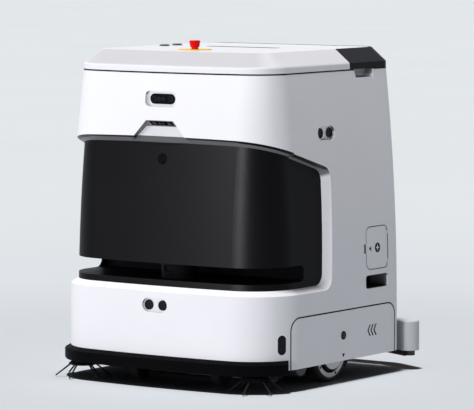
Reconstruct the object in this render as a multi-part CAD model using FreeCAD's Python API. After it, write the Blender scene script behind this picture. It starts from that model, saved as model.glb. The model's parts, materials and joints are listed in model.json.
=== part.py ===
import FreeCAD, Part
import math
import os

# Cleaning robot for hard floors, in millimetres.
# +Z is up from the floor, the robot drives towards -Y, +X is its left side.

V = FreeCAD.Vector
X_AXIS = V(1, 0, 0)
Y_AXIS = V(0, 1, 0)
Z_AXIS = V(0, 0, 1)
SIDES = {"left": 1, "right": -1}

# Fits shared by all pieces
wall = 3.5               # moulded wall of shells, covers and doors
seat_gap = 0.3           # between pieces that sit against each other
panel_gap = 1.0          # visible joint line round doors and flaps
running = 0.05           # radial clearance of a shaft in its bore

# Body form: plan at the foot and at the lid seam, drawn in by a curve between them
foot_half_width = 280.0
foot_front = 297.0
foot_front_radius = 2120.0
foot_corner_radius = 112.0
seam_half_width = 250.0
seam_front = 269.0
seam_front_radius = 1211.0
seam_corner_radius = 73.5
rear_y = 217.0
rear_corner_radius = 30.0
least_corner_radius = 4.0
skirt_z = 45.0           # lower edge of the side skirts and doors
shell_front_z = 66.0     # lower edge of the white front, on the bumper
taper_start_z = 130.0
taper_steps = 4
seam_z = 648.6

# Wrap-around front opening with its sloping lip, and the dark panel in it
lip_depth = 16.0
lip_low_z = 198.0
lip_low_rise = 10.0
lip_top_z = 518.0
lip_top_drop = 9.0
lip_top_slope = 0.295    # the upper edge falls towards the rear
opening_rear_low_y = -56.0
opening_rear_high_y = -47.0
lip_side_lead = 13.0     # the rear lip leads forward by this over its depth
opening_corner_radius = 26.0
opening_join_y = -176.0  # straight sides begin here
lip_wall = 4.0
panel_overlap = 9.0
panel_wall = 3.0

# Lidar slot in the panel
slot_floor_z = 221.0
slot_roof_z = 255.0
slot_rear_y = -131.0
slot_back_wall_y = -112.0
tray_floor = 6.0
roof_wall = 4.0
lidar_y = -208.0
lidar_radius = 38.0
lidar_base_height = 8.0
lidar_head_gap = 0.6
lidar_roof_gap = 2.4
lidar_spindle_radius = 9.0
lidar_spindle_height = 12.0

# Top cover and rear hatch
lid_gap = 1.6
band_top_z = 663.0
deck_z = 692.0
chamfer_in = 37.0
lid_edge_radius = 6.0
lid_lip_depth = 12.0
lid_lip_wall = 3.0
hatch_axis_y = 57.8
hatch_axis_below_deck = 2.0
hatch_seam = 0.6
hatch_panel_rear_y = 199.0
hatch_panel_corner = 21.0
hatch_ledge = 9.0
hatch_ledge_wall = 3.0
knuckle_x = 130.0
knuckle_width = 24.0
hinge_pin_radius = 1.0
hinge_pin_length = 60.0
notch_front_y = 70.7     # finger notch under the hatch's edge, at the outer skin
notch_rear_y = 146.0
notch_height = 17.0
notch_lean = 6.6         # its ends lean in by this towards the bottom
notch_depth = 15.0
notch_inner_height = 12.6
notch_draw = 6.5         # and draw in by this towards the inside
notch_wall = 2.5

# Controls on the deck
estop_y = -153.0
estop_disc_radius = 36.0
estop_disc_height = 1.2
estop_neck_radius = 7.2
estop_neck_height = 4.8
estop_stem_radius = 4.0
estop_foot_radius = 9.3
estop_head_radius = 11.5
estop_head_height = 14.1
estop_cup_depth = 6.0    # the head is hollow below and slides over the neck
estop_cup_gap = 0.4
estop_travel = 4.0
button_x = -176.0
button_ys = {"power_button": -19.0, "start_button": 27.0}
button_radius = 10.0
button_stem_radius = 6.0
button_height = 2.0
button_travel = 1.2
strip_half_length = 92.0
strip_front_y = 12.0
strip_rear_y = 34.0
strip_thickness = 2.0

# Cameras, sonar sensors and windows
upper_camera_z = 594.5
upper_camera_width = 62.0
upper_camera_height = 21.0
upper_recess_width = 78.0
upper_recess_height = 32.0
upper_recess_depth = 9.0
upper_recess_corner = 9.0
camera_body_depth = 18.0
camera_proud = 2.0
pocket_wall = 2.5
scoop_top_z = 550.5
scoop_deep_z = 537.0
scoop_depth = 19.0
scoop_foot_depth = 12.0
scoop_top_width = 68.0
scoop_low_width = 144.6
scoop_low_z = 509.0
lower_camera_width = 58.0
lower_camera_height = 16.0
lower_camera_depth = 14.0
lens_z = 470.6
lens_radius = 11.0
lens_depth = 16.0
lens_proud = 1.2
lens_glass_radius = 6.5
sonar_radius = 10.5
sonar_pitch = 35.0
sonar_depth = 15.0
sonar_recess_depth = 6.0
sonar_recess_length = 63.0
sonar_recess_height = 29.0
sonar_proud = 2.5
front_sonar_z = 169.5
side_sonar_y = -52.5
side_sonar_z = 522.5
window_angle = -24.7     # direction the corner windows face, from +X
window_low_z = 78.0
window_high_z = 118.0
window_width = 19.4
window_depth = 8.0
window_sink = 0.4

# Bumper round the front
bumper_low_z = 36.0
bumper_slope_z = 59.0    # its top slopes from here up to the shell
bumper_proud = 13.0
bumper_inset = 3.0
bumper_end_y = -209.5
bumper_mitre = 35.0      # angle of its end faces from the driving direction
bumper_foot_round = 5.0
bumper_top_round = 2.5
bumper_flange_half_width = 150.0
bumper_flange_wall = 4.0

# Chassis
plate_low_z = 104.0
plate_thickness = 6.0
plate_inset = 3.8
door_bay_inset = 14.0
wheel_well_margin = 7.0
foot_boss_width = 40.0
foot_boss_depth = 26.0
foot_boss_height = 22.0
foot_boss_xs = (-120.0, 120.0)
rear_arch_half_width = 130.0
rear_arch_z = 78.0
vent_rows = 6
vent_pitch = 14.0
vent_height = 5.0
vent_half_width = 62.0
vent_low_z = 330.0

# Side doors with their locks
door_front_y = -202.0
door_rear_y = 185.0
door_top_z = 149.0
door_corner_radius = 25.0
lock_y = -12.0
lock_z = 98.0
lock_radius = 9.0
lock_proud = 0.8
lock_body_radius = 7.0
lock_body_depth = 12.0
key_slot_width = 2.4
key_slot_length = 10.0
key_slot_depth = 2.0

# Service flap on the left side, its socket cup, and the hand grips
flap_front_y = 79.0
flap_rear_y = 161.0
flap_low_z = 228.0
flap_high_z = 316.0
flap_corner_radius = 14.0
flap_edge_inset = 10.0   # the round hinge edge stops this far from the flap's ends
flap_corner_relief = 3.0
flap_slot_width = 8.0
flap_slot_height = 20.0
cup_depth = 32.0
cup_wall = 2.5
cup_margin = 6.0
socket_radius = 24.0
socket_height = 16.0
socket_bore_radius = 15.0
socket_bore_depth = 14.0
grip_front_y = 75.0
grip_rear_y = 160.0
grip_low_z = 187.0
grip_high_z = 215.0
grip_corner_radius = 7.0
grip_depth = 44.0
grip_wall = 2.5

# Drive wheels and motors
axle_y = -22.0
wheel_radius = 64.5
tyre_depth = 9.0
wheel_width = 42.0
wheel_outer_x = 256.0
hub_ring_width = 9.8
hub_groove_width = 4.7
hub_groove_depth = 14.0
hub_cap_proud = 7.0
hub_cap_edge = 2.0
hub_web = 8.0
hub_rim_wall = 5.0
shaft_radius = 8.0
shaft_end_inset = 9.0    # the shaft stops this far inside the wheel's outer face
motor_radius = 36.0
motor_length = 95.0
motor_gap = 6.0
motor_block_width = 62.0
motor_block_length = 60.0

# Casters
caster_places = {
    "front_left": (105.0, -222.0),
    "front_right": (-105.0, -222.0),
    "rear_left": (150.0, 148.0),
    "rear_right": (-150.0, 148.0),
}
caster_wheel_radius = 29.0
caster_wheel_width = 22.0
caster_tread_round = 5.0
caster_trail = 18.0
caster_fork_wall = 3.0
caster_fork_gap = 1.0
caster_axle_radius = 4.0
caster_crown_low_z = 62.0
caster_crown_thickness = 7.0
caster_stem_radius = 8.0
caster_boss_radius = 17.0
caster_boss_gap = 0.6

# Side brushes
side_brush_x = 222.0
side_brush_y = -250.0
side_brush_motor_radius = 13.0
side_brush_motor_low_z = 44.0
side_brush_shaft_radius = 4.0
brush_disc_radius = 31.0
brush_disc_low_z = 25.0
brush_disc_thickness = 9.0
tuft_count = 6
tuft_radius = 1.5
tuft_root_radius = 24.0
tuft_tip_radius = 60.0
tuft_tip_z = 2.0
tuft_first_angle = 278.0

# Scrubbing roller under its deck
roller_y = -112.0
roller_z = 41.0
roller_half_length = 186.0
roller_core_radius = 16.0
roller_bristle_radius = 37.0
roller_valley_radius = 31.0
roller_rows = 10
roller_journal_radius = 6.0
deck_half_length = 198.0
deck_wall = 4.0
deck_low_z = 24.0
deck_half_depth = 46.0
deck_bore_margin = 4.0
roller_motor_radius = 22.0
roller_motor_length = 44.0

# Squeegee on its lifting arms, stored raised
squeegee_middle_y = 289.0
squeegee_bend_x = 198.0  # the ends sweep forward from here
squeegee_bend_radius = 70.0
squeegee_end_x = 277.8
squeegee_end_y = 250.0
squeegee_radius = 21.0   # half its depth, and the radius of its round ends
squeegee_low_z = 40.5
squeegee_high_z = 105.0
squeegee_edge_round = 3.7
squeegee_wall = 3.0
holder_radius = 12.0
holder_low_z = 29.0
holder_into_housing = 8.0
blade_thickness = 3.0
blade_low_z = 26.5
blade_in_holder = 5.0
blade_offset = 8.0       # from the squeegee's middle line to the middle of each blade
blade_margin = 6.0
pivot_y = 165.0
pivot_z = 50.0
pivot_radius = 6.0
arm_x = 56.0
arm_width = 12.0
arm_height = 16.0
lug_x = 76.0
lug_width = 8.0
lug_depth = 24.0
lug_below_pivot = 11.0

# Pieces inside
battery_half_width = 150.0
battery_front_y = -205.0
battery_rear_y = -75.0
battery_top_z = 200.0
battery_edge = 8.0
tank_gap_x = 8.0
tank_outer_x = 205.0
tank_front_y = -60.0
tank_rear_y = 188.0
tank_top_z = 585.0
tank_wall = 4.0
tank_edge = 22.0
neck_x = 110.0
neck_y = 130.0
neck_bore_radius = 25.0
neck_wall = 4.0
neck_height = 40.0
vacuum_radius = 42.0
vacuum_height = 46.0
vacuum_port_radius = 16.0
vacuum_port_height = 12.0
controller_half_width = 120.0
controller_front_y = -232.0
controller_rear_y = -150.0
controller_height = 110.0
controller_rib_count = 9
controller_rib_height = 4.0
controller_rib_width = 4.0

plate_top_z = plate_low_z + plate_thickness
lid_low_z = seam_z + lid_gap
far = 900.0              # reach of cutting tools beyond the body


def box(x0, x1, y0, y1, z0, z1):
    return Part.makeBox(x1 - x0, y1 - y0, z1 - z0, V(x0, y0, z0))


def unit(vector):
    return vector * (1.0 / vector.Length)


def rounded_wire(points, radii):
    """A closed wire through the points, each corner rounded by its own radius."""
    corners = []
    count = len(points)
    for i in range(count):
        point = points[i]
        back = unit(points[i - 1] - point)
        ahead = unit(points[(i + 1) % count] - point)
        if radii[i] == 0:
            corners.append((point, None, point))
            continue
        half = back.getAngle(ahead) / 2.0
        run = radii[i] / math.tan(half)
        inward = unit(back + ahead)
        middle = point + inward * (radii[i] / math.sin(half) - radii[i])
        corners.append((point + back * run, middle, point + ahead * run))
    edges = []
    for i in range(count):
        start, middle, end = corners[i]
        if middle is not None:
            edges.append(Part.Arc(start, middle, end).toShape())
        edges.append(Part.LineSegment(end, corners[(i + 1) % count][0]).toShape())
    return Part.Wire(edges)


def prism(wire, along):
    return Part.Face(wire).extrude(along)


def rectangle_yz(x, y0, y1, z0, z1, radius):
    points = [V(x, y0, z0), V(x, y1, z0), V(x, y1, z1), V(x, y0, z1)]
    return rounded_wire(points, [radius] * 4)


def rectangle_xz(y, x0, x1, z0, z1, radius):
    points = [V(x0, y, z0), V(x1, y, z0), V(x1, y, z1), V(x0, y, z1)]
    return rounded_wire(points, [radius] * 4)


def sheared(shape, row, column, factor):
    """The shape with one coordinate moved in proportion to another."""
    matrix = FreeCAD.Matrix()
    setattr(matrix, "A%d%d" % (row, column), factor)
    return shape.transformGeometry(matrix)


def mirrored(shape):
    return shape.mirror(V(0, 0, 0), X_AXIS)


def on_side(shape, side):
    """A shape drawn for the left side (+X), moved to the side that is asked for."""
    return shape if side > 0 else mirrored(shape)


def plan_sizes(z):
    """Half width, front reach, front radius and corner radius of the body at height z."""
    rise = max(0.0, z - taper_start_z) / (seam_z - taper_start_z)
    share = rise ** 2
    pairs = (
        (foot_half_width, seam_half_width),
        (foot_front, seam_front),
        (foot_front_radius, seam_front_radius),
        (foot_corner_radius, seam_corner_radius),
    )
    return [foot + (seam - foot) * share for foot, seam in pairs]


def corner_centre(sizes):
    """Centre of the front corner's curve for one set of plan sizes."""
    width, front, front_radius, corner_radius = sizes
    x = width - corner_radius
    reach = math.sqrt((front_radius - corner_radius) ** 2 - x ** 2)
    return x, front_radius - front - reach


def outline(z, inset=0.0, at=None, rear_inset=None):
    """The body's plan at height z, drawn in by inset, as a wire at height at."""
    sizes = [size - inset for size in plan_sizes(z)]
    width, front, front_radius, corner_radius = sizes
    level = z if at is None else at
    drawn = inset if rear_inset is None else rear_inset
    back = rear_y - drawn
    back_radius = max(rear_corner_radius - drawn, least_corner_radius)
    centre_y = front_radius - front
    corner_x, corner_y = corner_centre(sizes)
    turn = math.atan2(corner_x, centre_y - corner_y)
    half_turn = (turn + math.pi / 2) / 2
    diagonal = math.sqrt(0.5)

    front_end = V(front_radius * math.sin(turn), centre_y - front_radius * math.cos(turn), level)
    corner_mid = V(
        corner_x + corner_radius * math.sin(half_turn),
        corner_y - corner_radius * math.cos(half_turn),
        level,
    )
    side_start = V(width, corner_y, level)
    side_end = V(width, back - back_radius, level)
    back_mid = V(
        width - back_radius * (1 - diagonal), back - back_radius * (1 - diagonal), level
    )
    back_end = V(width - back_radius, back, level)

    def other(point):
        return V(-point.x, point.y, point.z)

    edges = [
        Part.Arc(other(front_end), V(0, -front, level), front_end),
        Part.Arc(front_end, corner_mid, side_start),
        Part.LineSegment(side_start, side_end),
        Part.Arc(side_end, back_mid, back_end),
        Part.LineSegment(back_end, other(back_end)),
        Part.Arc(other(back_end), other(back_mid), other(side_end)),
        Part.LineSegment(other(side_end), other(side_start)),
        Part.Arc(other(side_start), other(corner_mid), other(front_end)),
    ]
    return Part.Wire([edge.toShape() for edge in edges])


FORMS = {}


def body_form(inset):
    """The whole curved body drawn in by inset, from the bumper's foot to the lid seam."""
    if inset not in FORMS:
        rise = (seam_z - taper_start_z) / taper_steps
        levels = [bumper_low_z] + [taper_start_z + rise * k for k in range(taper_steps + 1)]
        FORMS[inset] = Part.makeLoft([outline(z, inset) for z in levels], True, False)
    return FORMS[inset]


def lid_form(inset, low_z):
    """The top cover's outer form: an upright band, a chamfer and a flat deck."""
    drop = inset * 0.5
    sections = [
        outline(seam_z, inset, low_z),
        outline(seam_z, inset, band_top_z - drop),
        outline(seam_z, chamfer_in + drop, deck_z - inset, inset),
    ]
    return Part.makeLoft(sections, True, True)


def half_width_at(z):
    return plan_sizes(z)[0]


def front_at(z):
    return -plan_sizes(z)[1]


def lip_top_at(y):
    """Height of the opening's upper edge on the outer surface."""
    return lip_top_z - lip_top_slope * (y - front_at(lip_top_z))


def opening_tools(grow):
    """Solids that fill the wrap-around opening: the front part, then the two sides.

    The tools narrow with depth, which leaves the sloping lip; grow widens them all round.
    """
    outside = 20.0
    inside = 60.0
    low_rate = lip_low_rise / lip_depth
    top_rate = lip_top_drop / lip_depth
    side_rate = lip_side_lead / lip_depth
    low_z = lip_low_z - grow
    top_z = lip_top_z + grow
    low_plug = Part.makeLoft(
        [
            outline(lip_low_z, -outside, low_z - outside * low_rate),
            outline(lip_low_z, inside, low_z + inside * low_rate),
        ],
        True,
        True,
    )
    top_plug = Part.makeLoft(
        [
            outline(lip_top_z, -outside, top_z + outside * top_rate),
            outline(lip_top_z, inside, top_z - inside * top_rate),
        ],
        True,
        True,
    )
    front_edge = front_at(lip_top_z)
    lift = V(0, 0, lip_top_slope * front_edge)
    top_plug = sheared(top_plug, 3, 2, -lip_top_slope)
    top_plug.translate(lift)
    front = box(-far, far, -far, opening_join_y, 0, top_z + outside * top_rate)
    front = sheared(front, 3, 2, -lip_top_slope)
    front.translate(lift)
    above = box(-far, far, -far, far, low_z - outside * low_rate, far)
    front = front.common(above).cut(low_plug).cut(top_plug)

    def side_wire(depth, x):
        low = low_z + depth * low_rate
        drop = depth * top_rate - grow
        rear_low = opening_rear_low_y + grow - depth * side_rate
        rear_high = opening_rear_high_y + grow - depth * side_rate
        points = [
            V(x, opening_join_y, low),
            V(x, rear_low, low),
            V(x, rear_high, lip_top_at(rear_high) - drop),
            V(x, opening_join_y, lip_top_at(opening_join_y) - drop),
        ]
        round_corner = opening_corner_radius + grow
        return rounded_wire(points, [0, round_corner, round_corner, 0])

    low_width = half_width_at(lip_low_z)
    high_z = lip_top_at(opening_rear_high_y)
    lean = (half_width_at(high_z) - low_width) / (high_z - lip_low_z)
    wires = [
        side_wire(-outside, low_width + outside),
        side_wire(inside, low_width - inside),
    ]
    side = sheared(Part.makeLoft(wires, True, True), 1, 3, lean)
    side.translate(V(-lean * lip_low_z, 0, 0))
    return [front, side, mirrored(side)]


def cut_all(shape, tools):
    for tool in tools:
        shape = shape.cut(tool)
    return shape


def fuse_all(shapes):
    first = shapes[0]
    return first.fuse(shapes[1:]).removeSplitter() if len(shapes) > 1 else first


def cylinder(radius, start, along):
    return Part.makeCylinder(radius, along.Length, start, along)


def stadium_wire(centre, across, up, length, height):
    """A slot outline with round ends, long along across."""
    radius = height / 2.0
    run = length / 2.0 - radius
    top = up * radius
    left = centre - across * run
    right = centre + across * run
    edges = [
        Part.LineSegment(left - top, right - top),
        Part.Arc(right - top, right + across * radius, right + top),
        Part.LineSegment(right + top, left + top),
        Part.Arc(left + top, left - across * radius, left - top),
    ]
    return Part.Wire([edge.toShape() for edge in edges])


def upper_camera_wire(y, grow):
    return stadium_wire(
        V(0, y, upper_camera_z), X_AXIS, Z_AXIS,
        upper_camera_width + 2 * grow, upper_camera_height + 2 * grow,
    )


def upper_recess(grow, depth):
    half_width = upper_recess_width / 2 + grow
    half_height = upper_recess_height / 2 + grow
    wire = rectangle_xz(
        -far, -half_width, half_width,
        upper_camera_z - half_height, upper_camera_z + half_height,
        upper_recess_corner + grow,
    )
    return prism(wire, V(0, far + front_at(upper_camera_z) + depth, 0))


def scoop(grow):
    """The wedge cut for the lower camera: a ceiling that leans in and a floor that comes out."""
    surface = front_at(scoop_top_z)
    outer = surface - 40.0
    slope = (scoop_top_z - scoop_deep_z) / scoop_depth
    floor_slope = (scoop_deep_z - scoop_low_z) / (scoop_depth - scoop_foot_depth)
    deep_y = surface + scoop_depth + grow
    profile = [
        V(-far, outer, scoop_top_z + slope * (surface - outer) + grow),
        V(-far, deep_y, scoop_deep_z + grow * (1 - slope)),
        V(-far, outer, scoop_deep_z - floor_slope * (deep_y - outer) - grow),
    ]
    wedge = prism(Part.makePolygon(profile + profile[:1]), V(2 * far, 0, 0))
    spread = (scoop_low_width - scoop_top_width) / 2 / (scoop_top_z - scoop_low_z)
    reach = 60.0
    top = scoop_top_width / 2 + grow - spread * reach
    low = scoop_low_width / 2 + grow + spread * reach
    front = [
        V(-top, outer, scoop_top_z + reach),
        V(top, outer, scoop_top_z + reach),
        V(low, outer, scoop_low_z - reach),
        V(-low, outer, scoop_low_z - reach),
    ]
    return wedge.common(prism(Part.makePolygon(front + front[:1]), V(0, 120.0, 0)))


def lower_camera_block(grow):
    """A block behind the scoop's ceiling, square to it."""
    surface = front_at(scoop_top_z)
    angle = math.degrees(math.atan2(scoop_top_z - scoop_deep_z, scoop_depth))
    half_width = lower_camera_width / 2 + grow
    block = box(
        -half_width, half_width,
        -lower_camera_height / 2 - grow, lower_camera_height / 2 + grow,
        0, lower_camera_depth,
    )
    block.rotate(V(0, 0, 0), X_AXIS, -angle)
    middle = V(0, surface + scoop_depth / 2, (scoop_top_z + scoop_deep_z) / 2)
    block.translate(middle)
    return block


def sonar_places():
    """Centre on the surface, direction out of it and direction along the pair."""
    side_x = half_width_at(side_sonar_z)
    return [
        (V(0, front_at(front_sonar_z), front_sonar_z), V(0, -1, 0), X_AXIS),
        (V(side_x, side_sonar_y, side_sonar_z), X_AXIS, Y_AXIS),
        (V(-side_x, side_sonar_y, side_sonar_z), V(-1, 0, 0), Y_AXIS),
    ]


def sonar_recess(place, grow, depth):
    centre, out, along = place
    wire = stadium_wire(
        centre + out * 30.0, along, Z_AXIS,
        sonar_recess_length + 2 * grow, sonar_recess_height + 2 * grow,
    )
    return prism(wire, out * -(30.0 + depth))


def window_solid(side, grow):
    """A pill that passes through the body's front corner."""
    angle = math.radians(window_angle)
    out = V(math.cos(angle), math.sin(angle), 0)
    sizes = plan_sizes(window_low_z)
    corner_x, corner_y = corner_centre(sizes)
    corner = V(corner_x, corner_y, (window_low_z + window_high_z) / 2)
    start = corner + out * (sizes[3] - window_depth)
    across = V(-out.y, out.x, 0)
    wire = stadium_wire(
        start, Z_AXIS, across, window_high_z - window_low_z + 2 * grow, window_width + 2 * grow
    )
    return on_side(prism(wire, out * (window_depth + 20.0)), side)


def door_prism(side, grow):
    """Through the skirt on one side: square below, round above."""
    points = [
        V(0, door_front_y - grow, 0),
        V(0, door_rear_y + grow, 0),
        V(0, door_rear_y + grow, door_top_z + grow),
        V(0, door_front_y - grow, door_top_z + grow),
    ]
    radius = door_corner_radius + grow
    wire = rounded_wire(points, [0, 0, radius, radius])
    return on_side(prism(wire, V(far, 0, 0)), side)


def flap_hinge_line():
    """The flap's axis, in the middle of its wall along the rear edge, bottom point first."""
    half = wall / 2.0
    y = flap_rear_y - half
    return [V(half_width_at(z) - half, y, z) for z in (flap_low_z, flap_high_z)]


def flap_prism(grow):
    wire = rectangle_yz(
        0, flap_front_y - grow, flap_rear_y + grow, flap_low_z - grow, flap_high_z + grow,
        flap_corner_radius + grow,
    )
    return prism(wire, V(far, 0, 0))


def grip_prism(side, grow, x0, x1):
    wire = rectangle_yz(
        x0, grip_front_y - grow, grip_rear_y + grow, grip_low_z - grow, grip_high_z + grow,
        grip_corner_radius + grow,
    )
    return on_side(prism(wire, V(x1 - x0, 0, 0)), side)


def notch_tool(side, grow):
    """The finger notch: a trapezium at the skin that gets smaller towards the inside."""
    def section(depth):
        share = depth / notch_depth
        x = half_width_at(seam_z) - depth
        height = notch_height + (notch_inner_height - notch_height) * share
        front = notch_front_y + notch_draw * share - grow
        rear = notch_rear_y - notch_draw * share + grow
        low = seam_z - height - grow
        points = [
            V(x, front, seam_z + grow), V(x, rear, seam_z + grow),
            V(x, rear - notch_lean, low), V(x, front + notch_lean, low),
        ]
        return Part.makePolygon(points + points[:1])

    loft = Part.makeLoft([section(-notch_depth), section(notch_depth + grow)], True, True)
    return on_side(loft, side)


def body_shell():
    """One moulded shell: curved skin, lip round the front opening, pockets and bosses."""
    outer = body_form(0.0)
    skin = outer.cut(body_form(wall))
    ring = outer.cut(body_form(lip_depth))
    tools = opening_tools(0.0)
    lips = [cut_all(ring.common(tool), tools) for tool in opening_tools(lip_wall)]
    shell = fuse_all([cut_all(skin, tools)] + lips)

    bosses = []
    for x in foot_boss_xs:
        half = foot_boss_width / 2
        low_z = plate_top_z
        high_z = plate_top_z + foot_boss_height
        bosses.append(box(x - half, x + half, rear_y - foot_boss_depth, far, low_z, high_z))
        front = front_at(low_z) + foot_boss_depth
        bosses.append(box(x - half, x + half, -far, front, low_z, high_z))
    pockets = [upper_recess(pocket_wall, upper_recess_depth + pocket_wall)]
    pockets.append(cut_all(scoop(pocket_wall), tools))
    pockets += [
        sonar_recess(place, pocket_wall, sonar_recess_depth + pocket_wall)
        for place in sonar_places()
    ]
    pockets += [notch_tool(side, notch_wall) for side in SIDES.values()]
    shell = fuse_all([shell] + [outer.common(piece) for piece in bosses + pockets])

    cuts = [upper_recess(0.0, upper_recess_depth), scoop(0.0), lower_camera_block(seat_gap)]
    camera_hole = prism(upper_camera_wire(-far, seat_gap), V(0, 2 * far, 0))
    cuts.append(camera_hole.common(box(-far, far, -far, 0, 0, far)))
    for place in sonar_places():
        centre, out, along = place
        cuts.append(sonar_recess(place, 0.0, sonar_recess_depth))
        for shift in (-sonar_pitch / 2, sonar_pitch / 2):
            hole = cylinder(sonar_radius + seat_gap, centre + along * shift, out * -40.0)
            cuts.append(hole)
    for side in SIDES.values():
        cuts.append(window_solid(side, seat_gap))
        cuts.append(door_prism(side, panel_gap))
        cuts.append(grip_prism(side, 0.0, 0.0, far))
        cuts.append(notch_tool(side, 0.0))
    cuts.append(flap_prism(panel_gap))
    slot_z = (flap_low_z + flap_high_z) / 2
    slot_y = flap_front_y - panel_gap
    cuts.append(box(
        0, far, slot_y - flap_slot_width, slot_y + panel_gap,
        slot_z - flap_slot_height / 2, slot_z + flap_slot_height / 2,
    ))
    cuts.append(bumper_zone(seat_gap, shell_front_z))
    cuts.append(box(-far, far, -far, far, 0, skirt_z))
    cuts.append(box(-rear_arch_half_width, rear_arch_half_width, 0, far, 0, rear_arch_z))
    for row in range(vent_rows):
        low = vent_low_z + row * vent_pitch
        wire = stadium_wire(
            V(0, rear_y - 2 * wall, low), X_AXIS, Z_AXIS, 2 * vent_half_width, vent_height
        )
        cuts.append(prism(wire, V(0, far, 0)))
    return cut_all(shell, cuts)


def front_panel():
    """Dark wrap-around panel behind the lip, with the lidar slot and its roof."""
    outer = body_form(lip_depth + seat_gap)
    sheet = outer.cut(body_form(lip_depth + seat_gap + panel_wall))
    pieces = [sheet.common(tool) for tool in opening_tools(panel_overlap)]
    height = slot_roof_z - slot_floor_z
    reach = far - abs(slot_rear_y)
    wire = stadium_wire(
        V(-far, slot_rear_y - reach / 2, slot_floor_z + height / 2), Y_AXIS, Z_AXIS, reach, height
    )
    panel = fuse_all(pieces).cut(prism(wire, V(2 * far, 0, 0)))
    roof = box(-far, far, -far, slot_back_wall_y, slot_roof_z, slot_roof_z + roof_wall)
    panel = fuse_all([panel, outer.common(roof)])
    lens_hole = cylinder(lens_radius + seat_gap, V(0, -far, lens_z), V(0, far + slot_rear_y, 0))
    return panel.cut(lens_hole).cut(scoop(pocket_wall + seat_gap))


def lidar_tray():
    inner = body_form(lip_depth + 2 * seat_gap + panel_wall)
    floor = box(-far, far, -far, slot_back_wall_y, slot_floor_z - tray_floor, slot_floor_z)
    back = box(
        -far, far, slot_back_wall_y - panel_wall, slot_back_wall_y,
        slot_floor_z, slot_roof_z - seat_gap,
    )
    return fuse_all([inner.common(floor), inner.common(back)])


def lidar_base():
    base = cylinder(lidar_radius, V(0, lidar_y, slot_floor_z), V(0, 0, lidar_base_height))
    spindle = cylinder(
        lidar_spindle_radius,
        V(0, lidar_y, slot_floor_z + lidar_base_height), V(0, 0, lidar_spindle_height),
    )
    return base.fuse(spindle)


def lidar_head():
    """Turning head: a drum with an optic window sunk in its wall."""
    low = slot_floor_z + lidar_base_height + lidar_head_gap
    high = slot_roof_z - lidar_roof_gap
    drum = cylinder(lidar_radius, V(0, lidar_y, low), V(0, 0, high - low))
    drum = drum.makeFillet(2.0, [drum.Edges[0]])
    bore_height = lidar_spindle_height - lidar_head_gap + seat_gap
    bore = cylinder(lidar_spindle_radius + running, V(0, lidar_y, low), V(0, 0, bore_height))
    window_half = 13.0
    window = box(
        -window_half, window_half, lidar_y - lidar_radius, lidar_y - lidar_radius * 0.86,
        low + 5.0, high - 5.0,
    )
    return drum.cut(bore).cut(window)


def bumper_zone(grow, high_z):
    """Everything ahead of the bumper's mitred ends, up to high_z."""
    sizes = plan_sizes(bumper_low_z)
    corner_x, corner_y = corner_centre(sizes)
    end_x = corner_x + math.sqrt(sizes[3] ** 2 - (bumper_end_y - corner_y) ** 2)
    end = V(end_x, bumper_end_y + grow, 0)
    along = V(math.sin(math.radians(bumper_mitre)), -math.cos(math.radians(bumper_mitre)), 0)
    inner = end - along * 60.0
    outer = end + along * 200.0
    half = [inner, outer, V(outer.x, -far, 0)]
    points = half + [V(-point.x, point.y, 0) for point in reversed(half)]
    return prism(Part.makePolygon(points + points[:1]), V(0, 0, high_z))


def bumper_strip():
    """Rubber rail with a sloping top and a rounded foot, and a flange behind the shell."""
    rail = Part.makeLoft([
        outline(bumper_low_z, -bumper_proud),
        outline(bumper_low_z, -bumper_proud, bumper_slope_z),
        outline(bumper_low_z, 0.0, shell_front_z),
    ], True, True)

    def rims(z):
        return [
            edge for edge in rail.Edges
            if edge.BoundBox.ZLength < 0.01 and abs(edge.BoundBox.ZMin - z) < 0.01
            and edge.BoundBox.YMin < bumper_end_y
        ]

    rail = rail.makeFillet(bumper_foot_round, rims(bumper_low_z))
    rail = rail.makeFillet(bumper_top_round, rims(bumper_slope_z))
    rail = rail.common(bumper_zone(0.0, far))
    rail = rail.cut(body_form(bumper_inset))
    behind = wall + seat_gap
    flange = body_form(behind).cut(body_form(behind + bumper_flange_wall))
    half = bumper_flange_half_width
    flange = flange.common(box(-half, half, -far, 0, shell_front_z - 8.0, plate_low_z))
    bridge = body_form(bumper_inset - 1.0).cut(body_form(behind + bumper_flange_wall))
    bridge = bridge.common(box(-half, half, -far, 0, bumper_low_z, shell_front_z - 2.0))
    return fuse_all([rail, flange, bridge])


def upper_depth_camera():
    """Black bar with a round-ended window and two sunken lenses, in the upper recess."""
    floor_y = front_at(upper_camera_z) + upper_recess_depth
    bar = prism(
        upper_camera_wire(floor_y - camera_proud, 0.0), V(0, camera_body_depth + camera_proud, 0)
    )
    for x in (-upper_camera_width * 0.34, upper_camera_width * 0.34):
        eye = cylinder(5.0, V(x, floor_y - camera_proud, upper_camera_z), V(0, 1.2, 0))
        bar = bar.cut(eye)
    return bar


def lower_depth_camera():
    return lower_camera_block(0.0)


def panel_camera():
    """Small round camera in the dark panel: a barrel, a rim and a domed glass."""
    surface = front_at(lens_z) + lip_depth + seat_gap
    start = V(0, surface - lens_proud, lens_z)
    barrel = cylinder(lens_radius, start, V(0, lens_depth, 0))
    barrel = barrel.cut(Part.makeCone(
        lens_radius - 1.5, lens_glass_radius, 3.0, start, Y_AXIS
    ))
    dome = Part.makeSphere(lens_glass_radius, start + V(0, 3.0 + lens_glass_radius * 0.7, 0))
    return barrel.fuse(dome)


def sonar_sensors():
    """Three pairs of round sensors, each a can with a rim and a sunken grille."""
    cans = []
    for centre, out, along in sonar_places():
        floor = centre - out * sonar_recess_depth
        for shift in (-sonar_pitch / 2, sonar_pitch / 2):
            face = floor + along * shift + out * sonar_proud
            can = cylinder(sonar_radius, face, out * -sonar_depth)
            can = can.cut(cylinder(sonar_radius - 1.5, face, out * -1.5))
            cans.append(can)
    return Part.makeCompound(cans)


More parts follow.
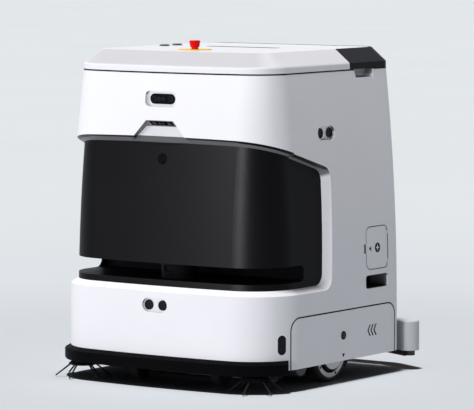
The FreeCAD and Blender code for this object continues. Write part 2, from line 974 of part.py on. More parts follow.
def corner_windows():
    skin = body_form(window_sink).cut(body_form(wall))
    return Part.makeCompound(
        [skin.common(window_solid(side, 0.0)) for side in SIDES.values()]
    )


def top_cover():
    """Fixed front part of the top: band, chamfer, deck, locating lip and hinge knuckles."""
    bead = hatch_axis_below_deck
    rear_edge = hatch_axis_y - bead - hatch_seam
    ahead = box(-far, far, -far, rear_edge, 0, far)
    form = lid_form(0.0, lid_low_z).common(ahead)
    rims = [
        edge for edge in form.Edges
        if edge.BoundBox.ZLength < 0.01 and edge.BoundBox.ZMin > lid_low_z + 1.0
        and edge.BoundBox.YMin < rear_edge - 1.0
    ]
    form = form.makeFillet(lid_edge_radius, rims)
    cover = form.cut(lid_form(wall, lid_low_z - 1.0))
    lip = body_form(wall + seat_gap).cut(body_form(wall + seat_gap + lid_lip_wall))
    lip = lip.common(box(-far, far, -far, far, seam_z - lid_lip_depth, far))
    lip_ring = Part.makeLoft([
        outline(seam_z, wall + seat_gap, seam_z - 0.5),
        outline(seam_z, wall + seat_gap, band_top_z - 2.0),
    ], True, True).cut(Part.makeLoft([
        outline(seam_z, wall + seat_gap + lid_lip_wall, seam_z - 0.5),
        outline(seam_z, wall + seat_gap + lid_lip_wall, band_top_z - 2.0),
    ], True, True))
    ledge = Part.makeLoft([
        outline(seam_z, 1.0, lid_low_z + 6.0), outline(seam_z, 1.0, lid_low_z + 9.0),
    ], True, True).cut(Part.makeLoft([
        outline(seam_z, wall + seat_gap + lid_lip_wall, lid_low_z + 6.0),
        outline(seam_z, wall + seat_gap + lid_lip_wall, lid_low_z + 9.0),
    ], True, True))
    cover = fuse_all([cover, lip, lip_ring, ledge]).common(ahead)

    knuckles = []
    axis_z = deck_z - bead
    half = knuckle_width / 2 - panel_gap
    for x in (-knuckle_x, knuckle_x):
        barrel = cylinder(bead, V(x - half, hatch_axis_y, axis_z), V(2 * half, 0, 0))
        arm = box(x - half, x + half, rear_edge - 2.0, hatch_axis_y, axis_z - bead, axis_z + 0.6)
        knuckles.append(barrel.fuse(arm))
    cover = fuse_all([cover] + knuckles)
    cuts = []
    for x in (-knuckle_x, knuckle_x):
        start = V(x - knuckle_width, hatch_axis_y, axis_z)
        cuts.append(cylinder(hinge_pin_radius + running, start, V(2 * knuckle_width, 0, 0)))
    cuts.append(box(
        -strip_half_length - seat_gap, strip_half_length + seat_gap,
        strip_front_y - seat_gap, strip_rear_y + seat_gap,
        deck_z - strip_thickness, far,
    ))
    cuts.append(cylinder(estop_stem_radius + running, V(0, estop_y, 0), V(0, 0, far)))
    for y in button_ys.values():
        hole = cylinder(button_stem_radius + running, V(button_x, y, 0), V(0, 0, far))
        cuts.append(hole)
    return cut_all(cover, cuts)


def status_strip():
    strip = box(
        -strip_half_length, strip_half_length, strip_front_y, strip_rear_y,
        deck_z - strip_thickness, deck_z,
    )
    upright = [edge for edge in strip.Edges if edge.BoundBox.ZLength > strip_thickness / 2]
    return strip.makeFillet(3.0, upright)


def estop_collar():
    disc = cylinder(estop_disc_radius, V(0, estop_y, deck_z), V(0, 0, estop_disc_height))
    disc = disc.makeFillet(0.5, [disc.Edges[0]])
    neck_z = deck_z + estop_disc_height
    neck = cylinder(estop_neck_radius, V(0, estop_y, neck_z), V(0, 0, estop_neck_height))
    bore = cylinder(estop_stem_radius + running, V(0, estop_y, 0), V(0, 0, far))
    return disc.fuse(neck).cut(bore)


def estop_button():
    """Stop button: a head that widens upwards, hollow below, on a stem through the collar."""
    low = deck_z - 14.0
    rim = deck_z + estop_disc_height + estop_travel + estop_cup_gap
    roof = rim + estop_cup_depth
    top = rim + estop_head_height
    cup_radius = estop_neck_radius + estop_cup_gap
    edge = 1.5
    profile = [
        V(0, 0, low),
        V(estop_stem_radius, 0, low),
        V(estop_stem_radius, 0, roof),
        V(cup_radius, 0, roof),
        V(cup_radius, 0, rim),
        V(estop_foot_radius, 0, rim),
        V(estop_head_radius, 0, top - 2 * edge),
        V(estop_head_radius, 0, top - edge),
        V(estop_head_radius - edge, 0, top),
        V(0, 0, top),
    ]
    head = Part.Face(Part.makePolygon(profile + profile[:1]))
    solid = head.revolve(V(0, 0, 0), Z_AXIS, 360)
    solid.translate(V(0, estop_y, 0))
    return solid


def deck_button(y):
    stand = button_travel + seat_gap
    low = deck_z + stand
    cap = cylinder(button_radius, V(button_x, y, low), V(0, 0, button_height))
    cap = cap.makeFillet(0.8, [cap.Edges[0]])
    stem = cylinder(button_stem_radius, V(button_x, y, deck_z - 10.0), V(0, 0, 10.0 + stand))
    return cap.fuse(stem)


def hatch_parts():
    """The hinged rear hatch: a dark band round its edge and a pale deck panel."""
    bead = hatch_axis_below_deck
    axis_z = deck_z - bead
    form = lid_form(0.0, lid_low_z).common(box(-far, far, hatch_axis_y, far, 0, far))
    hollow = form.cut(lid_form(wall, lid_low_z - 1.0))
    half = half_width_at(seam_z) - chamfer_in
    seat_z = deck_z - wall

    def deck_plan(grow, front_y, low_z, high_z):
        side = half + grow
        back = hatch_panel_rear_y + grow
        corner = hatch_panel_corner + grow
        points = [
            V(-side, front_y, low_z), V(side, front_y, low_z),
            V(side, back, low_z), V(-side, back, low_z),
        ]
        return prism(rounded_wire(points, [0, 0, corner, corner]), V(0, 0, high_z - low_z))

    deck = deck_plan(0.0, hatch_axis_y, seat_z, far)
    panel = hollow.common(deck)
    band = hollow.cut(deck)
    ledge = deck_plan(4.0, hatch_axis_y + bead, seat_z - hatch_ledge_wall, seat_z)
    ledge = ledge.cut(deck_plan(-hatch_ledge, 0.0, 0.0, far)).common(lid_form(1.0, lid_low_z))
    band = fuse_all([band, ledge])
    nose_half = half - wall
    nose = cylinder(bead, V(-nose_half, hatch_axis_y, axis_z), V(2 * nose_half, 0, 0))
    panel = fuse_all([panel, nose])
    for x in (-knuckle_x, knuckle_x):
        gap = box(
            x - knuckle_width / 2, x + knuckle_width / 2,
            hatch_axis_y - 2 * bead, hatch_axis_y + bead + panel_gap, deck_z - 3 * wall, far,
        )
        panel = panel.cut(gap)
        start = V(x - knuckle_width * 2, hatch_axis_y, axis_z)
        panel = panel.cut(
            cylinder(hinge_pin_radius + running, start, V(4 * knuckle_width, 0, 0))
        )
    return band, panel


def hatch_hinge_pins():
    axis_z = deck_z - hatch_axis_below_deck
    pins = []
    for x in (-knuckle_x, knuckle_x):
        start = V(x - hinge_pin_length / 2, hatch_axis_y, axis_z)
        pins.append(cylinder(hinge_pin_radius, start, V(hinge_pin_length, 0, 0)))
    return Part.makeCompound(pins)


def chassis_plate():
    """Flat plate with caster bosses, wheel wells, door bays and the squeegee's lugs."""
    plate = body_form(plate_inset).common(box(-far, far, -far, far, plate_low_z, plate_top_z))
    bosses = []
    bores = []
    boss_low = caster_crown_low_z + caster_crown_thickness + caster_boss_gap
    for x, y in caster_places.values():
        bosses.append(cylinder(
            caster_boss_radius, V(x, y, boss_low), V(0, 0, plate_top_z - boss_low)
        ))
        bores.append(cylinder(caster_stem_radius + running, V(x, y, 0), V(0, 0, far)))
    for side in SIDES.values():
        half = lug_width / 2
        lug = box(
            lug_x - half, lug_x + half, pivot_y - lug_depth / 2, pivot_y + lug_depth / 2,
            pivot_z - lug_below_pivot, plate_low_z,
        )
        bosses.append(on_side(lug, side))
        bay = box(
            foot_half_width - door_bay_inset, far,
            door_front_y - 2 * panel_gap, door_rear_y + 2 * panel_gap, 0, far,
        )
        well = box(
            wheel_outer_x - wheel_width - wheel_well_margin, far,
            axle_y - wheel_radius - wheel_well_margin, axle_y + wheel_radius + wheel_well_margin,
            0, far,
        )
        bores += [on_side(bay, side), on_side(well, side)]
        bores.append(on_side(cylinder(
            side_brush_shaft_radius, V(side_brush_x, side_brush_y, 0), V(0, 0, plate_low_z + 3.0)
        ), side))
    bores.append(cylinder(
        pivot_radius + running, V(-far, pivot_y, pivot_z), V(2 * far, 0, 0)
    ))
    return cut_all(fuse_all([plate] + bosses), bores)


def drive_motors():
    """Two gear motors under the plate, each with a mounting block and its wheel shaft."""
    motors = []
    for side in SIDES.values():
        inner_face = wheel_outer_x - wheel_width - motor_gap
        start = V(inner_face - motor_length, axle_y, wheel_radius)
        can = cylinder(motor_radius, start, V(motor_length, 0, 0))
        can = can.makeFillet(3.0, [can.Edges[0], can.Edges[2]])
        block = box(
            inner_face - motor_block_length, inner_face,
            axle_y - motor_block_width / 2, axle_y + motor_block_width / 2,
            wheel_radius, plate_low_z,
        )
        shaft_end = wheel_outer_x - shaft_end_inset
        shaft = cylinder(
            shaft_radius, V(inner_face - 10.0, axle_y, wheel_radius),
            V(shaft_end - inner_face + 10.0, 0, 0),
        )
        motors.append(on_side(can.fuse([block, shaft]), side))
    return Part.makeCompound(motors)


def drive_tyre(side):
    """Ring with rounded shoulders and two tread grooves."""
    outer_x = wheel_outer_x
    inner_x = wheel_outer_x - wheel_width
    bead = wheel_radius - tyre_depth
    shoulder = 4.0
    groove = 1.5
    third = wheel_width / 3.0
    profile = [
        V(inner_x, 0, bead), V(outer_x, 0, bead), V(outer_x, 0, wheel_radius - shoulder),
        V(outer_x - shoulder, 0, wheel_radius),
    ]
    for middle in (outer_x - third, inner_x + third):
        profile += [
            V(middle + groove, 0, wheel_radius), V(middle + groove, 0, wheel_radius - 2 * groove),
            V(middle - groove, 0, wheel_radius - 2 * groove), V(middle - groove, 0, wheel_radius),
        ]
    profile += [V(inner_x + shoulder, 0, wheel_radius), V(inner_x, 0, wheel_radius - shoulder)]
    ring = Part.Face(Part.makePolygon(profile + profile[:1])).revolve(V(0, 0, 0), X_AXIS, 360)
    ring.translate(V(0, axle_y, wheel_radius))
    return on_side(ring, side)


def drive_hub(side):
    """Wheel hub: a ring, a deep groove and a raised cap, bored from behind for the shaft."""
    outer_x = wheel_outer_x - 1.0
    inner_x = wheel_outer_x - wheel_width + 1.0
    rim_outer = wheel_radius - tyre_depth - running
    ring_inner = rim_outer - hub_ring_width
    cap_radius = ring_inner - hub_groove_width
    cap_x = outer_x + hub_cap_proud
    groove_x = outer_x - hub_groove_depth
    web_x = groove_x - hub_web
    rim_inner = rim_outer - hub_rim_wall
    bore_radius = shaft_radius + running
    bore_x = wheel_outer_x - shaft_end_inset + seat_gap
    profile = [
        V(bore_x, 0, 0), V(cap_x, 0, 0),
        V(cap_x, 0, cap_radius - hub_cap_edge), V(cap_x - hub_cap_edge, 0, cap_radius),
        V(groove_x, 0, cap_radius), V(groove_x, 0, ring_inner), V(outer_x, 0, ring_inner),
        V(outer_x, 0, rim_outer), V(inner_x, 0, rim_outer), V(inner_x, 0, rim_inner),
        V(web_x, 0, rim_inner), V(web_x, 0, bore_radius), V(bore_x, 0, bore_radius),
    ]
    hub = Part.Face(Part.makePolygon(profile + profile[:1])).revolve(V(0, 0, 0), X_AXIS, 360)
    hub.translate(V(0, axle_y, wheel_radius))
    return on_side(hub, side)


def caster_fork(x, y):
    """Swivelling fork with its stem, crown, two cheeks and the wheel's axle."""
    crown_high = caster_crown_low_z + caster_crown_thickness
    stem = cylinder(caster_stem_radius, V(x, y, caster_crown_low_z), V(
        0, 0, plate_top_z - seat_gap - caster_crown_low_z
    ))
    cheek_in = caster_wheel_width / 2 + caster_fork_gap
    cheek_out = cheek_in + caster_fork_wall
    axle_z = caster_wheel_radius
    axle_at = y + caster_trail
    cheeks = []
    front = y - cheek_out
    rear = y + caster_trail
    end_round = 10.0
    for face in (cheek_in, -cheek_out):
        points = [
            V(x + face, front, caster_crown_low_z), V(x + face, rear - end_round, axle_z - end_round),
            V(x + face, rear + end_round, axle_z - end_round),
            V(x + face, rear + end_round, crown_high), V(x + face, front, crown_high),
        ]
        wire = rounded_wire(points, [0, 0, end_round * 0.8, 0, 0])
        cheeks.append(prism(wire, V(caster_fork_wall, 0, 0)))
    crown = box(
        x - cheek_out, x + cheek_out, front, rear + end_round, caster_crown_low_z, crown_high
    )
    axle = cylinder(caster_axle_radius, V(x - cheek_out, axle_at, axle_z), V(2 * cheek_out, 0, 0))
    return fuse_all([stem, crown, axle] + cheeks)


def caster_wheel(x, y):
    centre = V(x - caster_wheel_width / 2, y + caster_trail, caster_wheel_radius)
    wheel = cylinder(caster_wheel_radius, centre, V(caster_wheel_width, 0, 0))
    wheel = wheel.makeFillet(caster_tread_round, [wheel.Edges[0], wheel.Edges[2]])
    bore = cylinder(caster_axle_radius + running, centre, V(caster_wheel_width, 0, 0))
    return wheel.cut(bore)


def side_brush_motors():
    motors = []
    for side in SIDES.values():
        x = side_brush_x
        can = cylinder(
            side_brush_motor_radius, V(x, side_brush_y, side_brush_motor_low_z),
            V(0, 0, plate_low_z - side_brush_motor_low_z),
        )
        shaft = cylinder(
            side_brush_shaft_radius, V(x, side_brush_y, brush_disc_low_z + 2.0),
            V(0, 0, side_brush_motor_low_z - brush_disc_low_z),
        )
        motors.append(on_side(can.fuse(shaft), side))
    return Part.makeCompound(motors)


def brush_disc(side):
    """Moulded disc with a conical skirt, bored for the motor's shaft."""
    high = brush_disc_low_z + brush_disc_thickness
    profile = [
        V(0, 0, brush_disc_low_z), V(brush_disc_radius - 4.0, 0, brush_disc_low_z),
        V(brush_disc_radius, 0, brush_disc_low_z + 3.0),
        V(brush_disc_radius - 5.0, 0, high - 2.0), V(12.0, 0, high), V(0, 0, high),
    ]
    disc = Part.Face(Part.makePolygon(profile + profile[:1])).revolve(V(0, 0, 0), Z_AXIS, 360)
    disc = disc.cut(cylinder(
        side_brush_shaft_radius + running, V(0, 0, brush_disc_low_z + 2.0 - seat_gap), V(0, 0, far)
    ))
    disc.translate(V(side * side_brush_x, side_brush_y, 0))
    return disc


def brush_tufts(side):
    """Bristle bundles that lean out from the disc to the floor."""
    tufts = []
    root_z = brush_disc_low_z + 4.0
    for k in range(tuft_count):
        angle = math.radians(tuft_first_angle + 360.0 * k / tuft_count)
        out = V(math.cos(angle), math.sin(angle), 0)
        root = out * tuft_root_radius + V(0, 0, root_z)
        tip = out * tuft_tip_radius + V(0, 0, tuft_tip_z)
        tufts.append(cylinder(tuft_radius, root, tip - root))
    bundle = Part.makeCompound(tufts)
    bundle.translate(V(side * side_brush_x, side_brush_y, 0))
    return bundle


def brush_deck():
    """Arched housing over the roller, open below, with bored end walls."""
    half = deck_half_length
    outer = box(
        -half, half, roller_y - deck_half_depth, roller_y + deck_half_depth, deck_low_z, plate_low_z
    )
    upper = [
        edge for edge in outer.Edges
        if edge.BoundBox.XLength > half and edge.BoundBox.ZMin > plate_low_z - 1.0
    ]
    outer = outer.makeFillet(24.0, upper)
    arch_radius = roller_bristle_radius + deck_bore_margin
    inner_half = half - deck_wall
    arch = cylinder(arch_radius, V(-inner_half, roller_y, roller_z), V(2 * inner_half, 0, 0))
    mouth = box(
        -inner_half, inner_half, roller_y - arch_radius, roller_y + arch_radius, 0, roller_z
    )
    bore = cylinder(
        roller_journal_radius + running, V(-far, roller_y, roller_z), V(2 * far, 0, 0)
    )
    return outer.cut(arch.fuse(mouth)).cut(bore)


def roller_core():
    core = cylinder(
        roller_core_radius, V(-roller_half_length, roller_y, roller_z),
        V(2 * roller_half_length, 0, 0),
    )
    journal_half = deck_half_length - seat_gap
    journal = cylinder(
        roller_journal_radius, V(-journal_half, roller_y, roller_z), V(2 * journal_half, 0, 0)
    )
    return core.fuse(journal)


def roller_bristles():
    """Bristle sleeve with raised rows along the roller."""
    points = []
    for k in range(roller_rows):
        for share, radius in ((0.0, roller_valley_radius), (0.25, roller_bristle_radius),
                              (0.5, roller_bristle_radius), (0.75, roller_valley_radius)):
            angle = 2 * math.pi * (k + share) / roller_rows
            points.append(V(
                -roller_half_length + 4.0, roller_y + radius * math.cos(angle),
                roller_z + radius * math.sin(angle),
            ))
    length = 2 * roller_half_length - 8.0
    sleeve = prism(Part.makePolygon(points + points[:1]), V(length, 0, 0))
    return sleeve.cut(cylinder(
        roller_core_radius + running, V(-far, roller_y, roller_z), V(2 * far, 0, 0)
    ))


def roller_motor():
    start = V(deck_half_length, roller_y, roller_z)
    can = cylinder(roller_motor_radius, start, V(roller_motor_length, 0, 0))
    return can.makeFillet(3.0, [can.Edges[0]])


def squeegee_line():
    """The squeegee's middle line in plan: straight across, with ends that sweep forward."""
    bend = V(squeegee_bend_x, squeegee_middle_y, 0)
    end = V(squeegee_end_x, squeegee_end_y, 0)
    back = V(-1, 0, 0)
    ahead = unit(end - bend)
    half = back.getAngle(ahead) / 2.0
    run = squeegee_bend_radius / math.tan(half)
    inward = unit(back + ahead)
    middle = bend + inward * (squeegee_bend_radius / math.sin(half) - squeegee_bend_radius)
    points = [bend + back * run, middle, bend + ahead * run, end]
    others = [V(-point.x, point.y, 0) for point in points]
    return [
        Part.LineSegment(others[3], others[2]),
        Part.Arc(others[2], others[1], others[0]),
        Part.LineSegment(others[0], points[0]),
        Part.Arc(points[0], points[1], points[2]),
        Part.LineSegment(points[2], points[3]),
    ]


def squeegee_bar(radius, low_z, high_z):
    """A bar of even depth with round ends along the squeegee's line."""
    line = Part.Wire([edge.toShape() for edge in squeegee_line()])
    bar = prism(line.makeOffset2D(radius), V(0, 0, high_z - low_z))
    bar.translate(V(0, 0, low_z))
    return bar


def squeegee_housing():
    """Moulded cover over the rear blades, open below."""
    block = squeegee_bar(squeegee_radius, squeegee_low_z, squeegee_high_z)
    top = [edge for edge in block.Edges if edge.BoundBox.ZMin > squeegee_high_z - 1.0]
    block = block.makeFillet(squeegee_edge_round, top)
    hollow = squeegee_bar(
        squeegee_radius - squeegee_wall, squeegee_low_z, squeegee_high_z - squeegee_wall
    )
    return block.cut(hollow)


def squeegee_holder():
    """Dark blade carrier that fills the housing's mouth, slotted for both blades."""
    lower = squeegee_bar(holder_radius, holder_low_z, squeegee_low_z)
    upper = squeegee_bar(
        squeegee_radius - squeegee_wall - seat_gap,
        squeegee_low_z, squeegee_low_z + holder_into_housing,
    )
    carrier = fuse_all([lower, upper])
    return carrier.cut(blade(1, running)).cut(blade(-1, running))


def blade(facing, grow):
    """A rubber blade beside the middle line, to the rear (1) or to the front (-1)."""
    half = blade_thickness / 2 + grow
    high_z = holder_low_z + blade_in_holder
    ring = squeegee_bar(blade_offset + half, blade_low_z, high_z)
    ring = ring.cut(squeegee_bar(blade_offset - half, blade_low_z, high_z))
    line = [edge.toShape() for edge in squeegee_line()]
    end = V(squeegee_end_x, squeegee_end_y, 0)
    corner = V(squeegee_end_x, facing * far, 0)
    points = [end, corner, V(-corner.x, corner.y, 0), V(-end.x, end.y, 0)]
    for i in range(3):
        line.append(Part.LineSegment(points[i], points[i + 1]).toShape())
    beside = prism(Part.Wire(Part.sortEdges(line)[0]), V(0, 0, far))
    reach = squeegee_end_x - blade_margin + grow
    return ring.common(beside).common(box(-reach, reach, -far, far, 0, far))


def squeegee_arms():
    """Cross shaft in the chassis lugs, with two arms that carry the housing."""
    reach = lug_x + lug_width / 2 + 4.0
    shaft = cylinder(pivot_radius, V(-reach, pivot_y, pivot_z), V(2 * reach, 0, 0))
    arms = []
    for side in SIDES.values():
        arm = box(
            arm_x - arm_width / 2, arm_x + arm_width / 2,
            pivot_y, squeegee_middle_y - squeegee_radius,
            pivot_z - arm_height / 2, pivot_z + arm_height / 2,
        )
        knuckle = cylinder(
            arm_height / 2, V(arm_x - arm_width / 2, pivot_y, pivot_z), V(arm_width, 0, 0)
        )
        arms += [on_side(arm, side), on_side(knuckle, side)]
    return fuse_all([shaft] + arms)


def side_door(side):
    """Skirt door over the drive wheel, with a hole for its lock."""
    skin = body_form(0.0).cut(body_form(wall))
    door = skin.common(door_prism(side, 0.0)).common(box(-far, far, -far, far, skirt_z, far))
    hole = cylinder(lock_body_radius + running, V(0, lock_y, lock_z), V(far, 0, 0))
    recess = cylinder(
        lock_radius + seat_gap, V(foot_half_width - 1.5, lock_y, lock_z), V(far, 0, 0)
    )
    return door.cut(on_side(hole, side)).cut(on_side(recess, side))


def door_lock(side):
    """Quarter-turn lock: a face with a key slot and a barrel through the door."""
    seat = foot_half_width - 1.5 + seat_gap
    face = cylinder(
        lock_radius, V(seat, lock_y, lock_z), V(foot_half_width + lock_proud - seat, 0, 0)
    )
    barrel = cylinder(
        lock_body_radius, V(foot_half_width - lock_body_depth, lock_y, lock_z),
        V(lock_body_depth, 0, 0),
    )
    front = foot_half_width + lock_proud
    slot = box(
        front - key_slot_depth, far, lock_y - key_slot_width / 2, lock_y + key_slot_width / 2,
        lock_z - key_slot_length / 2, lock_z + key_slot_length / 2,
    )
    return on_side(face.fuse(barrel).cut(slot), side)


def service_flap():
    """Flap cut from the skin, with a round hinge edge at its rear."""
    skin = body_form(0.0).cut(body_form(wall))
    low, high = flap_hinge_line()
    flap = skin.common(flap_prism(0.0)).common(box(0, far, -far, low.y, 0, far))
    relief_y = low.y - flap_corner_relief
    inset = flap_edge_inset
    flap = flap.cut(box(0, far, relief_y, far, high.z - inset, far))
    flap = flap.cut(box(0, far, relief_y, far, 0, low.z + inset))
    along = unit(high - low)
    edge = cylinder(wall / 2, low + along * inset, (high - low) - along * 2 * inset)
    return fuse_all([flap, edge])


def service_socket():
    """Cup behind the flap with a round socket on its floor."""
    y0 = flap_front_y - cup_margin
    y1 = flap_rear_y + cup_margin
    z0 = flap_low_z - cup_margin
    z1 = flap_high_z + cup_margin
    floor_x = half_width_at(flap_high_z) - cup_depth
    inner = body_form(wall + seat_gap)
    radius = flap_corner_radius + cup_margin
    outside = prism(rectangle_yz(floor_x - cup_wall, y0, y1, z0, z1, radius), V(far, 0, 0))
    hollow = prism(
        rectangle_yz(
            floor_x, y0 + cup_wall, y1 - cup_wall, z0 + cup_wall, z1 - cup_wall, radius - cup_wall
        ),
        V(far, 0, 0),
    )
    cup = inner.common(outside).cut(hollow)
    middle = V(floor_x, (y0 + y1) / 2, (z0 + z1) / 2)
    boss = cylinder(socket_radius, middle, V(socket_height, 0, 0))
    bore_start = middle + V(socket_height - socket_bore_depth, 0, 0)
    bore = cylinder(socket_bore_radius, bore_start, V(socket_bore_depth, 0, 0))
    return cup.fuse(boss).cut(bore)


def grip_cups():
    """Hand grips: a cup behind each side opening, open to the outside."""
    cups = []
    inner = body_form(wall + seat_gap)
    floor_x = half_width_at(grip_high_z) - grip_depth
    for side in SIDES.values():
        outside = grip_prism(side, grip_wall, floor_x - grip_wall, far)
        hollow = grip_prism(side, 0.0, floor_x, far)
        cups.append(inner.common(outside).cut(hollow))
    return Part.makeCompound(cups)


def battery_pack():
    block = box(
        -battery_half_width, battery_half_width, battery_front_y, battery_rear_y,
        plate_top_z, battery_top_z,
    )
    return block.makeFillet(battery_edge, block.Edges)


def tank_shell(side):
    """Hollow moulded tank on one side of the middle."""
    sizes = (tank_gap_x, tank_outer_x, tank_front_y, tank_rear_y, plate_top_z, tank_top_z)
    block = box(*sizes)
    block = block.makeFillet(tank_edge, block.Edges)
    x0, x1, y0, y1, z0, z1 = sizes
    inner = box(
        x0 + tank_wall, x1 - tank_wall, y0 + tank_wall, y1 - tank_wall, z0 + tank_wall, z1 - tank_wall
    )
    inner = inner.makeFillet(tank_edge - tank_wall, inner.Edges)
    return on_side(block.cut(inner), side)


def clean_water_tank():
    """Tank with its filler neck under the hatch."""
    base = V(neck_x, neck_y, tank_top_z - tank_wall)
    neck = cylinder(neck_bore_radius + neck_wall, base, V(0, 0, tank_wall + neck_height))
    bore = cylinder(neck_bore_radius, base - V(0, 0, 1.0), V(0, 0, tank_wall + neck_height + 2.0))
    return tank_shell(SIDES["left"]).fuse(neck).cut(bore)


def recovery_tank():
    return tank_shell(SIDES["right"])


def vacuum_motor():
    start = V(-neck_x, neck_y, tank_top_z)
    can = cylinder(vacuum_radius, start, V(0, 0, vacuum_height))
    can = can.makeFillet(4.0, [can.Edges[0]])
    port = cylinder(
        vacuum_port_radius, start + V(0, 0, vacuum_height), V(0, 0, vacuum_port_height)
    )
    return can.fuse(port)


def controller_box():
    """Controller on the slot's roof, with cooling ribs on top."""
    low = slot_roof_z + roof_wall
    high = low + controller_height
    case = box(
        -controller_half_width, controller_half_width, controller_front_y, controller_rear_y, low, high
    )
    ribs = []
    pitch = 2 * controller_half_width / controller_rib_count
    for k in range(controller_rib_count):
        x = -controller_half_width + (k + 0.5) * pitch
        ribs.append(box(
            x - controller_rib_width / 2, x + controller_rib_width / 2,
            controller_front_y, controller_rear_y, high, high + controller_rib_height,
        ))
    return fuse_all([case] + ribs)


def all_parts():
    band, deck_panel = hatch_parts()
    parts = {
        "body_shell": body_shell(),
        "front_panel": front_panel(),
        "lidar_tray": lidar_tray(),
        "lidar_base": lidar_base(),
        "lidar_head": lidar_head(),
        "bumper_strip": bumper_strip(),
        "upper_depth_camera": upper_depth_camera(),
        "lower_depth_camera": lower_depth_camera(),
        "panel_camera": panel_camera(),
        "sonar_sensors": sonar_sensors(),
        "corner_windows": corner_windows(),
        "top_cover": top_cover(),
        "status_strip": status_strip(),
        "estop_collar": estop_collar(),
        "estop_button": estop_button(),
        "rear_hatch": band,
        "hatch_panel": deck_panel,
        "hatch_hinge_pins": hatch_hinge_pins(),
        "chassis_plate": chassis_plate(),
        "drive_motors": drive_motors(),
        "side_brush_motors": side_brush_motors(),
        "brush_deck": brush_deck(),
        "roller_core": roller_core(),
        "roller_bristles": roller_bristles(),
        "roller_motor": roller_motor(),
        "squeegee_housing": squeegee_housing(),
        "squeegee_holder": squeegee_holder(),
        "squeegee_front_blade": blade(-1, 0.0),
        "squeegee_rear_blade": blade(1, 0.0),
        "squeegee_arms": squeegee_arms(),
        "service_flap": service_flap(),
        "service_socket": service_socket(),
        "grip_cups": grip_cups(),
        "battery_pack": battery_pack(),
        "clean_water_tank": clean_water_tank(),
        "recovery_tank": recovery_tank(),
        "vacuum_motor": vacuum_motor(),
        "controller_box": controller_box(),
    }
    for name, y in button_ys.items():
        parts[name] = deck_button(y)
    for name, side in SIDES.items():
        parts[name + "_drive_tyre"] = drive_tyre(side)
        parts[name + "_drive_hub"] = drive_hub(side)
        parts[name + "_brush_disc"] = brush_disc(side)
        parts[name + "_brush_tufts"] = brush_tufts(side)
        parts[name + "_side_door"] = side_door(side)
        parts[name + "_door_lock"] = door_lock(side)
    for name, (x, y) in caster_places.items():
        parts[name + "_caster_fork"] = caster_fork(x, y)
        parts[name + "_caster_wheel"] = caster_wheel(x, y)
    return parts


os.makedirs("parts", exist_ok=True)
for node, shape in all_parts().items():
    shape.exportStep("parts/%s.step" % node)
    print("%-24s solids %d valid %s" % (node, len(shape.Solids), shape.isValid()))
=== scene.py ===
import json
import math
import random

import bpy
import bmesh
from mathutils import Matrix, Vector


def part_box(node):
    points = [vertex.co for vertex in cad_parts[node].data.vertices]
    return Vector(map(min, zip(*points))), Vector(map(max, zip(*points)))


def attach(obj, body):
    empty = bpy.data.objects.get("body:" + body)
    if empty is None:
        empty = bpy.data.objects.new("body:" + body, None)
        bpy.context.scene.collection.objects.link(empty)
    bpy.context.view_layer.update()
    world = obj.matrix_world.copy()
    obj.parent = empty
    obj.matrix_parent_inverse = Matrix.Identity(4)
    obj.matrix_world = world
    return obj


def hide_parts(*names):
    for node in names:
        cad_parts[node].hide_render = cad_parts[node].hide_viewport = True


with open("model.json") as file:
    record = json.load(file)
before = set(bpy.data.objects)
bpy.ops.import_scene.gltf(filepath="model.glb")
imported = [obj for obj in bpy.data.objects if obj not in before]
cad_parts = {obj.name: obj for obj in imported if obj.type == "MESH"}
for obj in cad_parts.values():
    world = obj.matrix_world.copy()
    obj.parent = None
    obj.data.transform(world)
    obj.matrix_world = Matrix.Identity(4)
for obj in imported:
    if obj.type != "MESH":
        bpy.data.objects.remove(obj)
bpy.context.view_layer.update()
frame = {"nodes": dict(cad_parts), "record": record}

MM = 1000.0              # millimetres in a metre

# Camera at the photograph's angle, in metres and degrees
AZIMUTH = 35.0
ELEVATION = 4.9
DISTANCE = 7.355
TARGET = Vector((0.00028, 0.0, 0.3564))
FOCAL_PIXELS = 3453.4
IMAGE_WIDTH = 474
SENSOR = 36.0
CLIP_START = 0.1
CLIP_END = 100.0

# Plan of the body shell, in millimetres like the sizes of all pieces below:
# half width, front reach, front radius and corner radius at the foot and at the lid seam
FOOT = (280.0, 297.0, 2120.0, 112.0)
SEAM = (250.0, 269.0, 1211.0, 73.5)
REAR_Y = 217.0
REAR_RADIUS = 30.0
TAPER_Z = 130.0          # below it the sides are upright
SEAM_Z = 648.6
LID_Z = 650.2
DECK_Z = 692.0
SIDES = {"left": 1, "right": -1}

# Axes of the door locks and of the drive wheels as (y, z), and of the left brush as (x, y)
LOCK_AXIS = (-12.0, 98.0)
WHEEL_AXIS = (-22.0, 64.5)
BRUSH_AXIS = (222.0, -250.0)

# Wells of the two large eyes of the upper depth camera
EYE_WELL_RADIUS = 5.0
EYE_WELL_DEPTH = 1.2

# Upper edge of the front opening's lip, in metres
LIP_SLOPE = 0.295        # its fall towards the rear
LIP_TOP = 0.435          # its height plus that fall, the same all along
LIP_OVER = 0.002         # its dark line starts at most this far above it
LIP_FACING = (-0.6, -0.4)    # upright share of the normal, on the lip and off it

# Boxes in metres that hold a tint, as (low corner, high corner), all mirrored in X; all of them but
# COLLAR_TOP hold painted shade
# Painted shade inside the finger notches under the hatch
HATCH_NOTCH_SHADE = ((0.2, 0.06, 0.6378), (0.2487, 0.15, 0.6487))
# Painted shade on the scoop's foot below the lip's edge, matching the lip's underside
SCOOP_FOOT_SHADE = ((0.0, -0.3, 0.5), (0.078, -0.2, 0.5172))
# Painted shade over the lit face of a small ledge in the lip
LIP_LEDGE_SHADE = ((0.2, -0.17605, 0.4), (0.3, -0.17595, 0.52))
